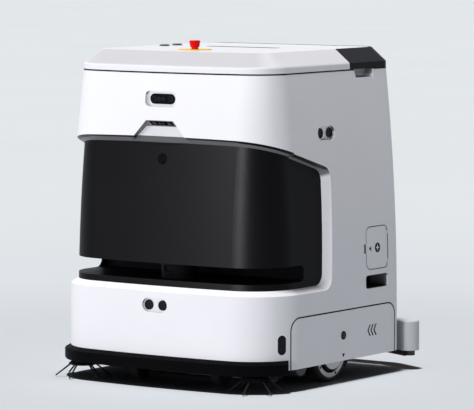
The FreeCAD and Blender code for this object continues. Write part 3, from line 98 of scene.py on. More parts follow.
# Stretches of the lip that carry a painted dark line of shade along its upper edge
LIP_FRONT = ((0.0, -0.3, 0.45), (0.19, -0.2, 0.53))
LIP_CORNER = ((0.19, -0.3, 0.36), (0.3, -0.176, 0.53))
LIP_SIDE = ((0.19, -0.176, 0.36), (0.3, 0.1, 0.53))
# Painted shade on the e-stop's neck under its head
ESTOP_NECK_SHADE = ((0.0, -0.2, 0.69), (0.1, -0.1, 0.6972))
COLLAR_TOP = ((0.0, -0.2, 0.6936), (0.1, -0.1, 0.72))

# Painted shade that follows the normal: a direction, and (share of the normal along it, tone) in
# turn
# Painted shade on faces that turn downwards, darkest where they face straight down
UNDERSIDE_SHADE = ((0.0, 0.0, 1.0), [(-0.6, 0.16), (-0.3, 0.2), (-0.1, 1.0), (1.0, 1.0)])
# Painted shade on the lid's sloping faces
LID_SLOPE_SHADE = ((0.0, 0.0, 1.0), [(0.62, 1.0), (0.72, 0.92), (0.84, 0.92), (0.93, 1.0)])
# Painted shade on the lid's front slope, deepest where it faces straight forwards
LID_FRONT_SHADE = ((0.0, -0.62, 0.784), [(0.79, 1.0), (0.886, 0.84), (0.948, 0.72), (1.0, 0.68)])
# Painted shade in the grip cups, on every wall except those that face the front
CUP_SHADE = ((0.0, -1.0, 0.0), [(-1.0, 0.06), (0.5, 0.06), (0.95, 1.0)])

# Where noise, which lies about 0.5, is taken to start and end
NOISE_LOW = 0.3
NOISE_HIGH = 0.7

# Colours as 0-255 display values, and the settings that the white finishes share
WHITE = (239, 238, 243)
RED = (224, 8, 18)
# Painted shade along the lip's upper edge
LIP_EDGE_SHADE = (6, 6, 8)
SKIN = dict(vary=0.03, depth=0.00003, shine=0.35)

# Moulded and painted finishes: colour, roughness, scale of the grain, other settings
MOULDED = {
    "white_shell": (WHITE, 0.34, 2600, dict(SKIN, facing=[UNDERSIDE_SHADE])),
    "body_white": (WHITE, 0.34, 2600, dict(
        SKIN,
        facing=[UNDERSIDE_SHADE],
        zones=[
            (HATCH_NOTCH_SHADE, (146, 146, 152)),
            (SCOOP_FOOT_SHADE, (98, 98, 101)),
            (LIP_LEDGE_SHADE, (60, 60, 64)),
        ],
        lines=[(LIP_FRONT, 0.0025), (LIP_CORNER, 0.0034), (LIP_SIDE, 0.0056)],
    )),
    "cover_white": (WHITE, 0.34, 2600, dict(SKIN, facing=[UNDERSIDE_SHADE, LID_SLOPE_SHADE, LID_FRONT_SHADE])),
    "dark_panel": (
        (14, 14, 18), 0.42, 2600, dict(vary=0.1, depth=0.00002, shine=0.05, smear=0.02)
    ),
    "tray_dark": ((9, 9, 11), 0.5, 2600, dict(vary=0.12, shine=0.08)),
    "hatch_dark": (
        (20, 20, 25), 0.42, 2600, dict(vary=0.1, depth=0.00003, shine=0.06, smear=0.02)
    ),
    "bumper_rubber": ((8, 8, 10), 0.55, 1500, dict(vary=0.2, depth=0.00008, shine=0.03)),
    "camera_black": ((7, 7, 9), 0.5, 2600, dict(vary=0.1, shine=0.0)),
    "strip_dark": ((30, 31, 34), 0.7, 2200, dict(vary=0.1, shine=0.05)),
    "sensor_black": ((8, 8, 10), 0.42, 3000, dict(vary=0.15, shine=0.08)),
    "sonar_grey": ((34, 34, 39), 0.5, 3000, dict(vary=0.15, shine=0.08)),
    "cup_dark": ((124, 124, 130), 0.5, 2200, dict(vary=0.15, shine=0.2, facing=[CUP_SHADE])),
    "grey_plastic": ((150, 152, 156), 0.45, 2200, {}),
    "red_plastic": (
        RED, 0.35, 3000, dict(vary=0.08, shine=0.12, zones=[(ESTOP_NECK_SHADE, (64, 8, 12))])
    ),
    "yellow_plastic": ((240, 190, 44), 0.45, 2600, dict(shine=0.3, zones=[(COLLAR_TOP, RED)])),
    "button_grey": ((120, 122, 126), 0.4, 2600, {}),
    "chassis_paint": ((34, 35, 38), 0.5, 900, dict(vary=0.15, depth=0.00006)),
    "motor_paint": ((46, 48, 52), 0.42, 1200, dict(vary=0.12)),
    "tyre_rubber": ((24, 24, 26), 0.7, 1200, dict(vary=0.2, depth=0.0001, shine=0.2)),
    "caster_tread": ((22, 22, 24), 0.6, 1400, dict(vary=0.15, shine=0.15)),
    "brush_plastic": ((16, 16, 18), 0.5, 2200, dict(vary=0.15, shine=0.15)),
    "squeegee_plastic": ((200, 201, 206), 0.4, 2400, dict(vary=0.04)),
    "squeegee_base": ((18, 18, 21), 0.5, 2200, dict(vary=0.15)),
    "blade_rubber": ((190, 92, 78), 0.6, 1600, dict(vary=0.1)),
    "tank_plastic": ((200, 205, 208), 0.45, 1500, {}),
    "battery_case": ((36, 37, 40), 0.5, 1800, dict(vary=0.12)),
    "controller_case": ((150, 152, 155), 0.42, 1600, dict(vary=0.08)),
    # Black for the seals, and for the strips of painted shade in the lid's joint and the flap's
    # finger slot
    "seal_and_shade_black": ((12, 12, 13), 0.7, 1800, dict(vary=0.2, shine=0.1)),
    "mark_black": ((12, 12, 15), 0.55, 2600, dict(vary=0.1, shine=0.1)),
    "mark_pale": ((225, 226, 229), 0.5, 2600, dict(vary=0.04)),
    "lens_ring": ((62, 63, 68), 0.4, 2600, dict(vary=0.1, shine=0.1)),
}

# Dark glass: colour, roughness, shine
GLASS = {
    "black_glass": ((5, 5, 7), 0.12, 0.1),
    "window_black": ((26, 26, 31), 0.2, 0.08),
    "lens_glass": ((8, 8, 12), 0.06, 0.2),
}

# Metal with fine lines: colour, roughness, scale of the lines along each axis
BRUSHED = {
    "steel": ((190, 192, 196), 0.3, (0.05, 1.0, 1.0)),
    "fork_steel": ((58, 59, 62), 0.5, (1.0, 1.0, 0.05)),
}

BRISTLES = {"bristle": (62, 63, 67), "tuft_black": (13, 13, 15)}

# Rings round an axis along X: the axis, the radius in metres at share 1, (share, colour) in turn,
# scale, least and most of the roughness, scale and depth of the grain, shine
RINGED = {
    # Black lock face with a pale grey ring round its key slot, a painted highlight
    "lock_face": (
        LOCK_AXIS, 0.01,
        [
            (0.0, (8, 8, 10)), (0.3, (8, 8, 10)), (0.33, (128, 129, 134)),
            (0.39, (128, 129, 134)), (0.42, (8, 8, 10)),
        ],
        (600.0, 0.3, 0.5), (1800.0, 0.00003), 0.1,
    ),
    # Pale wheel hub with a black ring at the groove between its outer ring and its cap, painted
    # shade of the groove
    "hub_grey": (
        WHEEL_AXIS, 0.06,
        [
            (0.0, (206, 207, 211)), (0.62, (206, 207, 211)), (0.64, (10, 10, 11)),
            (0.76, (10, 10, 11)), (0.78, (206, 207, 211)),
        ],
        (90.0, 0.36, 0.5), (2000.0, 0.00004), 0.5,
    ),
}

# Nodes whose finish isn't the one that their slot in the record names
OWN_FINISH = {
    "body_shell": "body_white",
    "top_cover": "cover_white",
    "lower_depth_camera": "camera_black",
    "rear_hatch": "hatch_dark",
    "status_strip": "strip_dark",
    "lidar_tray": "tray_dark",
    "sonar_sensors": "sonar_grey",
    "corner_windows": "window_black",
    "grip_cups": "cup_dark",
    "left_door_lock": "lock_face",
    "right_door_lock": "lock_face",
}

# Lamps: direction towards each, irradiance, width in degrees
LAMPS = {
    "key": ((-0.5, -0.86, 0.05), 0.29, 8.0),
    "fill": ((0.06, -1.0, 0.05), 0.395, 8.0),
    "sheen": ((-0.1, -0.99, 0.05), 3.2, 20.0),
    "top": ((-0.03, -0.075, 1.0), 0.98, 4.0),
}

# Light of the world at the horizon and overhead
SKY_COLOUR = (247, 251, 255)
SKY_LOW = 0.01
SKY_HIGH = 0.08
BACKDROP = 0.82          # what cameras and mirrors see of it

# Floor, in metres: half its side, its height, and its colour by the distance from the middle
FLOOR_SIZE = 40.0
FLOOR_Z = -0.0005
FLOOR_NEAR = 0.5
FLOOR_FAR = 4.0
FLOOR_TONES = [
    (0.0, (209, 213, 218)),
    (0.16, (211, 215, 220)),
    (0.4, (221, 225, 229)),
    (1.0, (225, 229, 232)),
]


def linear(red, green, blue):
    """A colour given as 0-255 display values, as linear light."""
    def one(value):
        share = value / 255.0
        return share / 12.92 if share <= 0.04045 else ((share + 0.055) / 1.055) ** 2.4
    return (one(red), one(green), one(blue), 1.0)


def shade(colour, factor):
    return tuple(channel * factor for channel in colour[:3]) + (1.0,)


def grey(tone):
    return (tone, tone, tone, 1.0)


def add_camera():
    turn, tilt = math.radians(AZIMUTH), math.radians(ELEVATION)
    back = Vector((
        math.sin(turn) * math.cos(tilt), -math.cos(turn) * math.cos(tilt), math.sin(tilt)
    ))
    data = bpy.data.cameras.new("photo_camera")
    data.sensor_width = SENSOR
    data.sensor_fit = "HORIZONTAL"
    data.lens = FOCAL_PIXELS / IMAGE_WIDTH * SENSOR
    data.clip_start = CLIP_START
    data.clip_end = CLIP_END
    camera = bpy.data.objects.new("photo_camera", data)
    camera.location = TARGET + back * DISTANCE
    camera.rotation_euler = (-back).to_track_quat("-Z", "Y").to_euler()
    bpy.context.scene.collection.objects.link(camera)
    bpy.context.scene.camera = camera


class Nodes:
    """Short way to build a material's node tree."""

    def __init__(self, name):
        self.material = bpy.data.materials.new(name)
        self.material.use_nodes = True
        self.tree = self.material.node_tree
        self.tree.nodes.clear()
        output = self.add("ShaderNodeOutputMaterial")
        self.shader = self.add("ShaderNodeBsdfPrincipled")
        self.join(self.shader.outputs["BSDF"], output.inputs["Surface"])
        coordinates = self.add("ShaderNodeTexCoord")
        self.place = coordinates.outputs["Object"]
        self.normal = coordinates.outputs["Normal"]

    def add(self, kind):
        return self.tree.nodes.new(kind)

    def join(self, source, target):
        self.tree.links.new(source, target)

    def feed(self, name, source):
        self.join(source, self.shader.inputs[name])

    def set(self, **values):
        for key, value in values.items():
            self.shader.inputs[key.replace("_", " ")].default_value = value

    def noise(self, scale, detail=2.0, stretch=None):
        node = self.add("ShaderNodeTexNoise")
        node.inputs["Scale"].default_value = scale
        node.inputs["Detail"].default_value = detail
        place = self.place
        if stretch:
            mapping = self.add("ShaderNodeMapping")
            mapping.inputs["Scale"].default_value = stretch
            self.join(place, mapping.inputs["Vector"])
            place = mapping.outputs["Vector"]
        self.join(place, node.inputs["Vector"])
        return node.outputs["Fac"]

    def axis(self, vector, name):
        node = self.add("ShaderNodeSeparateXYZ")
        self.join(vector, node.inputs["Vector"])
        return node.outputs[name]

    def along(self, vector, direction):
        node = self.add("ShaderNodeVectorMath")
        node.operation = "DOT_PRODUCT"
        node.inputs[1].default_value = direction
        self.join(vector, node.inputs[0])
        return node.outputs["Value"]

    def between(self, value, least, most):
        """One where the value lies from least to most, and zero elsewhere."""
        node = self.add("ShaderNodeMath")
        node.operation = "COMPARE"
        node.inputs[1].default_value = (least + most) / 2.0
        node.inputs[2].default_value = (most - least) / 2.0
        self.join(value, node.inputs[0])
        return node.outputs["Value"]

    def product(self, first, second):
        node = self.add("ShaderNodeMath")
        node.operation = "MULTIPLY"
        self.join(first, node.inputs[0])
        self.join(second, node.inputs[1])
        return node.outputs["Value"]

    def inside(self, low, high):
        """One within a box that is mirrored in X, and zero outside it."""
        near = self.add("ShaderNodeVectorMath")
        near.operation = "ABSOLUTE"
        self.join(self.place, near.inputs[0])
        factor = self.between(self.axis(near.outputs["Vector"], "X"), low[0], high[0])
        for name, least, most in zip("YZ", low[1:], high[1:]):
            factor = self.product(factor, self.between(self.axis(self.place, name), least, most))
        return factor

    def below_edge(self, width):
        """One on the lip within this drop from its upper edge, in metres, where its painted dark
        line of shade goes.
        """
        level = self.along(self.place, (0.0, LIP_SLOPE, 1.0))
        down = self.spread(self.axis(self.normal, "Z"), 1.0, 0.0, *LIP_FACING)
        return self.product(self.between(level, LIP_TOP - width, LIP_TOP + LIP_OVER), down)

    def reach(self, centre, scale):
        """Distance from centre, in metres, counting each axis by its scale."""
        node = self.add("ShaderNodeVectorMath")
        node.operation = "MULTIPLY"
        node.inputs[1].default_value = scale
        self.join(self.place, node.inputs[0])
        gap = self.add("ShaderNodeVectorMath")
        gap.operation = "DISTANCE"
        gap.inputs[1].default_value = [c * s for c, s in zip(centre, scale)]
        self.join(node.outputs["Vector"], gap.inputs[0])
        return gap.outputs["Value"]

    def spread(self, factor, low, high, start=NOISE_LOW, end=NOISE_HIGH):
        """From low to high as the factor goes from start to end."""
        node = self.add("ShaderNodeMapRange")
        node.inputs["From Min"].default_value = start
        node.inputs["From Max"].default_value = end
        node.inputs["To Min"].default_value = low
        node.inputs["To Max"].default_value = high
        self.join(factor, node.inputs["Value"])
        return node.outputs["Result"]

    def ramp(self, factor, stops):
        node = self.add("ShaderNodeValToRGB")
        ramp = node.color_ramp
        while len(ramp.elements) < len(stops):
            ramp.elements.new(0.5)
        for element, (position, colour) in zip(ramp.elements, stops):
            element.position = position
            element.color = colour
        self.join(factor, node.inputs["Fac"])
        return node.outputs["Color"]

    def mix(self, kind, first, second, factor=1.0):
        node = self.add("ShaderNodeMix")
        node.data_type = "RGBA"
        node.blend_type = kind
        colours = [socket for socket in node.inputs if socket.type == "RGBA"]
        share = node.inputs[0]
        for socket, value in zip([share] + colours, (factor, first, second)):
            if hasattr(value, "links"):
                self.join(value, socket)
            else:
                socket.default_value = value
        return [socket for socket in node.outputs if socket.type == "RGBA"][0]

    def bump(self, height, distance, strength):
        node = self.add("ShaderNodeBump")
        node.inputs["Distance"].default_value = distance
        node.inputs["Strength"].default_value = strength
        self.join(height, node.inputs["Height"])
        self.feed("Normal", node.outputs["Normal"])


def moulded(
    name, colour, rough, grain, vary=0.06, depth=0.00004, shine=0.5, smear=0.12,
    facing=(), zones=(), lines=(),
):
    """Moulded or painted surface: tint that wanders a little, grain and uneven gloss.

    facing holds tones of painted shade that follow the normal; zones holds boxes, each with
    the display colour inside it, most of them painted shade; lines holds boxes, each with the
    width in metres of the painted dark line of shade along the lip's upper edge inside it.
    """
    nodes = Nodes(name)
    cloud = nodes.noise(scale=7.0, detail=3.0)
    tint = nodes.ramp(cloud, [(NOISE_LOW, shade(colour, 1.0 - vary)), (NOISE_HIGH, colour)])
    # Painted shade by the way each face turns
    for direction, tones in facing:
        along = nodes.along(nodes.normal, direction)
        towards = nodes.spread(along, 0.0, 1.0, start=-1.0, end=1.0)
        stops = [((share + 1.0) / 2.0, grey(tone)) for share, tone in tones]
        tint = nodes.mix("MULTIPLY", tint, nodes.ramp(towards, stops))
    # Colours inside boxes, most of them painted shade
    for (low, high), other in zones:
        tint = nodes.mix("MIX", tint, linear(*other), nodes.inside(low, high))
    # A painted dark line of shade along the lip's upper edge
    for (low, high), width in lines:
        here = nodes.product(nodes.inside(low, high), nodes.below_edge(width))
        tint = nodes.mix("MIX", tint, linear(*LIP_EDGE_SHADE), here)
    nodes.feed("Base Color", tint)
    patches = nodes.noise(scale=38.0, detail=4.0)
    nodes.feed("Roughness", nodes.spread(patches, rough * (1 - smear), rough * (1 + smear)))
    nodes.bump(nodes.noise(grain), depth, strength=0.35)
    nodes.set(Specular_IOR_Level=shine)
    return nodes.material


def brushed(name, colour, rough, stretch):
    """Metal with fine lines along one direction."""
    nodes = Nodes(name)
    lines = nodes.noise(scale=900.0, detail=3.0, stretch=stretch)
    tones = [(NOISE_LOW, shade(colour, 0.8)), (NOISE_HIGH, colour)]
    nodes.feed("Base Color", nodes.ramp(lines, tones))
    nodes.feed("Roughness", nodes.spread(lines, low=rough * 0.8, high=rough * 1.3))
    nodes.bump(lines, distance=0.00003, strength=0.3)
    nodes.set(Metallic=1.0)
    return nodes.material


def glass_black(name, colour, rough, shine):
    """Dark glass whose tint and gloss vary a little."""
    nodes = Nodes(name)
    cloud = nodes.noise(scale=60.0)
    tones = [(0.35, shade(colour, 0.8)), (0.65, shade(colour, 1.25))]
    nodes.feed("Base Color", nodes.ramp(cloud, tones))
    nodes.feed("Roughness", nodes.spread(cloud, low=rough * 0.7, high=rough * 1.4))
    nodes.set(Specular_IOR_Level=shine)
    return nodes.material


def bristle(name, colour):
    """Fine upright strands in light and dark."""
    nodes = Nodes(name)
    strands = nodes.noise(scale=1500.0, stretch=(1.0, 1.0, 0.15))
    tones = [(NOISE_LOW, shade(colour, 0.5)), (NOISE_HIGH, shade(colour, 1.3))]
    nodes.feed("Base Color", nodes.ramp(strands, tones))
    nodes.feed("Roughness", nodes.spread(strands, low=0.45, high=0.7))
    nodes.bump(strands, distance=0.0004, strength=0.6)
    return nodes.material


def ringed(name, axis, radius, rings, gloss, grain, shine):
    """Rings of colour round an axis along X, out to a radius in metres."""
    nodes = Nodes(name)
    y, z = axis
    distance = nodes.reach(centre=(0.0, y / MM, z / MM), scale=(0.0, 1.0, 1.0))
    share = nodes.spread(distance, 0.0, 1.0, start=0.0, end=radius)
    stops = [(place, linear(*colour)) for place, colour in rings]
    nodes.feed("Base Color", nodes.ramp(share, stops))
    gloss_scale, least, most = gloss
    nodes.feed("Roughness", nodes.spread(nodes.noise(gloss_scale, detail=3.0), least, most))
    grain_scale, depth = grain
    nodes.bump(nodes.noise(grain_scale), depth, strength=0.3)
    nodes.set(Specular_IOR_Level=shine)
    return nodes.material


def all_materials():
    made = {}
    for name, (colour, rough, grain, settings) in MOULDED.items():
        made[name] = moulded(name, linear(*colour), rough, grain, **settings)
    for name, (colour, rough, shine) in GLASS.items():
        made[name] = glass_black(name, linear(*colour), rough, shine)
    for name, (colour, rough, stretch) in BRUSHED.items():
        made[name] = brushed(name, linear(*colour), rough, stretch)
    for name, colour in BRISTLES.items():
        made[name] = bristle(name, linear(*colour))
    for name, settings in RINGED.items():
        made[name] = ringed(name, *settings)
    return made


def dress_nodes(materials):
    """Every node gets the finish of the slot that the record gives it, or one of its own."""
    for row in frame["record"]["subparts"]:
        name = row["node"]
        finish = materials[OWN_FINISH.get(name, row["material_slot"])]
        for holder in frame["nodes"][name].material_slots:
            holder.material = finish


def plan_sizes(z):
    """Sizes of the body's plan at one height, in the order of FOOT and SEAM."""
    rise = max(0.0, z - TAPER_Z) / (SEAM_Z - TAPER_Z)
    return [foot + (seam - foot) * rise ** 2 for foot, seam in zip(FOOT, SEAM)]


def corner_centre(sizes):
    """Centre of the plan's front corner, which meets the bowed front without a kink."""
    width, front, front_radius, corner_radius = sizes
    x = width - corner_radius
    reach = math.sqrt((front_radius - corner_radius) ** 2 - x ** 2)
    return x, front_radius - front - reach


def skin_x(y, z):
    """Half width of the body's outer surface at one place on its side."""
    sizes = plan_sizes(z)
    width, corner_radius = sizes[0], sizes[-1]
    x, corner_y = corner_centre(sizes)
    if y >= corner_y:
        return width
    return x + math.sqrt(corner_radius ** 2 - (y - corner_y) ** 2)


def front_at(z):
    """Front of the body on its middle line at one height."""
    return -plan_sizes(z)[1]


def add_piece(name, points, faces, finish, body, smooth=False):
    """A mesh piece from points in millimetres, riding on one body of the frame."""
    mesh = bpy.data.meshes.new(name)
    mesh.from_pydata([[c / MM for c in point] for point in points], [], faces)
    form = bmesh.new()
    form.from_mesh(mesh)
    bmesh.ops.recalc_face_normals(form, faces=form.faces)
    form.to_mesh(mesh)
    form.free()
    for face in mesh.polygons:
        face.use_smooth = smooth
    mesh.materials.append(finish)
    piece = bpy.data.objects.new(name, mesh)
    bpy.context.scene.collection.objects.link(piece)
    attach(piece, body)
    return piece


def tube_faces(rings, size, start=0, closed=False):
    """Faces that join rings of size points each, in order, with ends unless it is closed."""
    faces = []
    for ring in range(rings if closed else rings - 1):
        here = start + ring * size
        there = start + (ring + 1) % rings * size
        for k in range(size):
            after = (k + 1) % size
            faces.append((here + k, here + after, there + after, there + k))
    if not closed:
        last = start + (rings - 1) * size
        faces.append(tuple(range(start, start + size)))
        faces.append(tuple(range(last, last + size)))
    return faces


def turns(count):
    """Angles of equal steps round a circle, in radians."""
    return [2 * math.pi * k / count for k in range(count)]


def arc(centre, radius, start, end, steps):
    """Points of an arc in its plane, angles in degrees."""
    angles = [math.radians(start + (end - start) * k / steps) for k in range(steps + 1)]
    return [
        (centre[0] + radius * math.cos(a), centre[1] + radius * math.sin(a)) for a in angles
    ]


def front_run(inset, end_y):
    """Plan of the lid seam round the front, from one side to the other."""
    corner_steps, front_steps = 18, 14
    sizes = [size - inset for size in SEAM]
    width, front, front_radius, corner_radius = sizes
    x, y = corner_centre(sizes)
    centre_y = front_radius - front
    turn = math.degrees(math.atan2(x, centre_y - y))
    half = [(width, end_y)]
    half += arc((x, y), corner_radius, 0.0, -90.0 + turn, corner_steps)
    half += arc((0.0, centre_y), front_radius, -90.0 + turn, -90.0, front_steps)[1:-1]
    return half + [(0.0, -front)] + [(-px, py) for px, py in reversed(half)]


def rear_run(inset, end_y):
    """Plan of the lid seam round the back, from one side to the other."""
    corner_steps = 10
    width = SEAM[0] - inset
    radius = REAR_RADIUS - inset
    back = REAR_Y - inset
    half = [(width, end_y)]
    half += arc((width - radius, back - radius), radius, 0.0, 90.0, corner_steps)
    return half + [(-px, py) for px, py in reversed(half)]


def add_lid_joint_shade(materials):
    """Black strip in the joint under the lid, open at the two finger notches: painted shade of the
    joint.
    """
    notch_front, notch_rear = 70.2, 146.5
    drop, clear, depth = 1.4, 0.05, 3.0
    # Section as (inset from the plan of the seam, height)
    section = (
        (-0.32, SEAM_Z - drop), (-0.1, LID_Z - clear), (depth, LID_Z - clear),
        (depth, SEAM_Z + clear), (-0.02, SEAM_Z + clear), (-0.2, SEAM_Z - drop),
    )
    for name, run, end_y in (("front", front_run, notch_front), ("rear", rear_run, notch_rear)):
        runs = [run(inset, end_y) for inset, z in section]
        points = []
        for station in zip(*runs):
            points += [(x, y, z) for (x, y), (inset, z) in zip(station, section)]
        faces = tube_faces(len(runs[0]), len(section))
        add_piece("lid_joint_shade_" + name, points, faces, materials["seal_and_shade_black"], "frame")


def rounded(y, z, radius, begin, stop, steps):
    """Stations of a round corner on the body's side, each with the direction out of it."""
    return [
        ((py, pz), ((py - y) / radius, (pz - z) / radius))
        for py, pz in arc((y, z), radius, begin, stop, steps)
    ]


def side_strip(path, near, over, low, high, side):
    """Points of a flat strip along a path on the body's side, and their number per station.

    near and over are the distances of its edges from the path, low and high the heights
    of its faces over the skin.
    """
    section = ((near, low), (near, high), (over, high), (over, low))
    points = []
    for (y, z), (out_y, out_z) in path:
        for reach, height in section:
            py, pz = y + out_y * reach, z + out_z * reach
            points.append((side * (skin_x(py, pz) + height), py, pz))
    return points, len(section)


def add_door_seals(materials):
    """Lip seal along the joint round each side door, on the shell."""
    front, rear, top, low, radius = -202.0, 185.0, 149.0, 45.2, 25.0
    upright_z, corner_steps, top_steps = 90.0, 10, 8
    length = rear - front - 2 * radius
    path = [((front, z), (-1.0, 0.0)) for z in (low, upright_z)]
    path += rounded(front + radius, top - radius, radius, 180.0, 90.0, corner_steps)
    for step in range(1, top_steps):
        path.append(((front + radius + length * step / top_steps, top), (0.0, 1.0)))
    path += rounded(rear - radius, top - radius, radius, 90.0, 0.0, corner_steps)
    path += [((rear, z), (1.0, 0.0)) for z in (upright_z, low)]
    for word, side in SIDES.items():
        points, size = side_strip(path, near=0.12, over=3.0, low=-0.5, high=0.12, side=side)
        faces = tube_faces(len(path), size)
        add_piece(word + "_door_seal", points, faces, materials["seal_and_shade_black"], "frame")


def add_flap_seal(materials):
    """Lip seal round the service flap, open at its finger slot and beside its hinge's ends."""
    front, rear, low, high, radius = 79.0, 161.0, 228.0, 316.0, 14.0
    slot_low, slot_high = 261.4, 282.6
    hinge_clear, corner_end, corner_steps = 4.0, 40.0, 8
    top, foot = high - radius, low + radius
    over = [((front, slot_high), (-1.0, 0.0))]
    over += rounded(front + radius, top, radius, 180.0, 90.0, corner_steps)
    over += rounded(rear - radius, top, radius, 90.0, corner_end, corner_steps)
    under = rounded(rear - radius, foot, radius, -corner_end, -90.0, corner_steps)
    under += rounded(front + radius, foot, radius, -90.0, -180.0, corner_steps)
    under.append(((front, slot_low), (-1.0, 0.0)))
    beside = [((rear, z), (1.0, 0.0)) for z in (foot + hinge_clear, top - hinge_clear)]
    points, faces = [], []
    for path in (over, under, beside):
        more, size = side_strip(path, near=0.6, over=1.8, low=-0.5, high=0.08, side=1)
        faces += tube_faces(len(path), size, len(points))
        points += more
    add_piece("flap_seal", points, faces, materials["seal_and_shade_black"], "frame")


def add_slot_shade(materials):
    """Black sheet at the back of the finger slot beside the service flap: painted shade of the
    slot.
    """
    front, rear, low, high = 70.2, 77.8, 262.2, 281.8
    back, face = 2.9, 2.4
    outline = [(front, low), (rear, low), (rear, high), (front, high)]
    points = [(skin_x(y, z) - sunk, y, z) for sunk in (back, face) for y, z in outline]
    faces = tube_faces(2, len(outline))
    add_piece("flap_slot_shade", points, faces, materials["seal_and_shade_black"], "frame")


def add_marks(name, outlines, side, finish, body, lift=0.1):
    """Flat printed signs on the body's side, each a closed outline of (y, z)."""
    clear = 0.01
    points, faces = [], []
    for outline in outlines:
        faces += tube_faces(2, len(outline), len(points))
        for height in (clear, lift):
            points += [(side * (skin_x(y, z) + height), y, z) for y, z in outline]
    add_piece(name, points, faces, finish, body)


def add_signs(materials):
    """Plain signs: three chevrons and a pointer on each door, an arrow and a plus on the flap."""
    black = materials["mark_black"]
    first_y, pitch, count = 80.0, 11.5, 3
    z, half, arm, thick = 98.5, 12.0, 8.0, 4.8
    door_signs = []
    for k in range(count):
        y = first_y + pitch * k
        door_signs.append([
            (y, z), (y + arm, z + half), (y + arm + thick, z + half),
            (y + thick, z), (y + arm + thick, z - half), (y + arm, z - half),
        ])
    lock_y = LOCK_AXIS[0]
    half, base_z, tip_z = 5.6, 60.0, 51.5
    door_signs.append([(lock_y - half, base_z), (lock_y + half, base_z), (lock_y, tip_z)])
    for word, side in SIDES.items():
        add_marks(word + "_door_signs", door_signs, side, black, word + "_door")
    tip_y, base_y, z, half = 88.5, 97.0, 271.0, 5.5
    arrow = [(tip_y, z), (base_y, z + half), (base_y, z - half)]
    add_marks("flap_arrow", [arrow], 1, black, "flap")
    y, z, radius, steps = 121.7, 271.5, 10.4, 24
    disc = arc((y, z), radius, 0.0, 360.0, steps)[:-1]
    add_marks("flap_disc", [disc], 1, black, "flap")
    length, thick = 6.0, 1.4
    plus = [
        [(y - wide, z - high), (y + wide, z - high), (y + wide, z + high), (y - wide, z + high)]
        for wide, high in ((thick, length), (length, thick))
    ]
    add_marks("flap_plus", plus, 1, materials["mark_pale"], "flap", lift=0.16)


def hexagon(radius, angle):
    """Distance from the middle of a hexagon to its edge at one angle."""
    return radius * math.cos(math.pi / 6) / math.cos(angle % (math.pi / 3) - math.pi / 6)


def screw_points(centre, side, count=24):
    """A socket screw that faces outwards along X."""
    x, y, z = centre
    # Rings as (radius, height, whether it is six-sided)
    levels = (
        (2.7, 0.0, False), (2.7, 0.5, False), (2.3, 0.9, False),
        (1.3, 0.9, True), (1.3, -0.1, True), (0.2, -0.1, False),
    )
    points = []
    for radius, height, six in levels:
        for angle in turns(count):
            r = hexagon(radius, angle) if six else radius
            points.append((
                side * (x + height), y + r * math.cos(angle), z + r * math.sin(angle)
            ))
    return points, len(levels), count


def add_hub_screws(materials):
    """Ring of socket screws in each drive hub."""
    face_x, radius, count, first, pitch = 255.0, 50.5, 5, -70.0, 72.0
    y, z = WHEEL_AXIS
    for word, side in SIDES.items():
        points, faces = [], []
        for k in range(count):
            angle = math.radians(first + pitch * k)
            centre = (face_x, y + radius * math.cos(angle), z + radius * math.sin(angle))
            more, rings, size = screw_points(centre, side)
            faces += tube_faces(rings, size, len(points))
            points += more
        add_piece(word + "_hub_screws", points, faces, materials["mark_black"], word + "_wheel")


def lens_points(centre, across, up, out, radius, rise, count=24):
    """A low dome on a face: rings of points from its foot to near its top."""
    levels, top_angle = 5, 82.0
    points = []
    for level in range(levels):
        turn = math.radians(top_angle * level / (levels - 1))
        r, height = radius * math.cos(turn), rise * math.sin(turn)
        for angle in turns(count):
            points.append(tuple(
                centre + across * (r * math.cos(angle)) + up * (r * math.sin(angle))
                + out * height
            ))
    return points, levels, count


def ring_points(centre, across, up, out, radius, count=24):
    """A low ring on a face, closed on itself, round an eye of this radius."""
    section = ((0.05, -0.1), (0.1, 0.25), (0.75, 0.25), (0.85, -0.1))
    points = []
    for angle in turns(count):
        spoke = across * math.cos(angle) + up * math.sin(angle)
        for reach, height in section:
            points.append(tuple(centre + spoke * (radius + reach) + out * height))
    return points, count, len(section)


def add_lenses(name, places, across, up, out, materials):
    """Domed eyes on a camera's face, each (centre, radius, rise, depth of its well)."""
    eyes, eye_faces = [], []
    bands, band_faces = [], []
    for centre, radius, rise, sunk in places:
        more, rings, size = lens_points(centre - out * sunk, across, up, out, radius, rise)
        eye_faces += tube_faces(rings, size, len(eyes))
        eyes += more
        rim = EYE_WELL_RADIUS if sunk else radius
        more, rings, size = ring_points(centre, across, up, out, rim)
        band_faces += tube_faces(rings, size, len(bands), closed=True)
        bands += more
    add_piece(name + "_eyes", eyes, eye_faces, materials["lens_glass"], "frame", smooth=True)
    add_piece(name + "_rings", bands, band_faces, materials["lens_ring"], "frame")


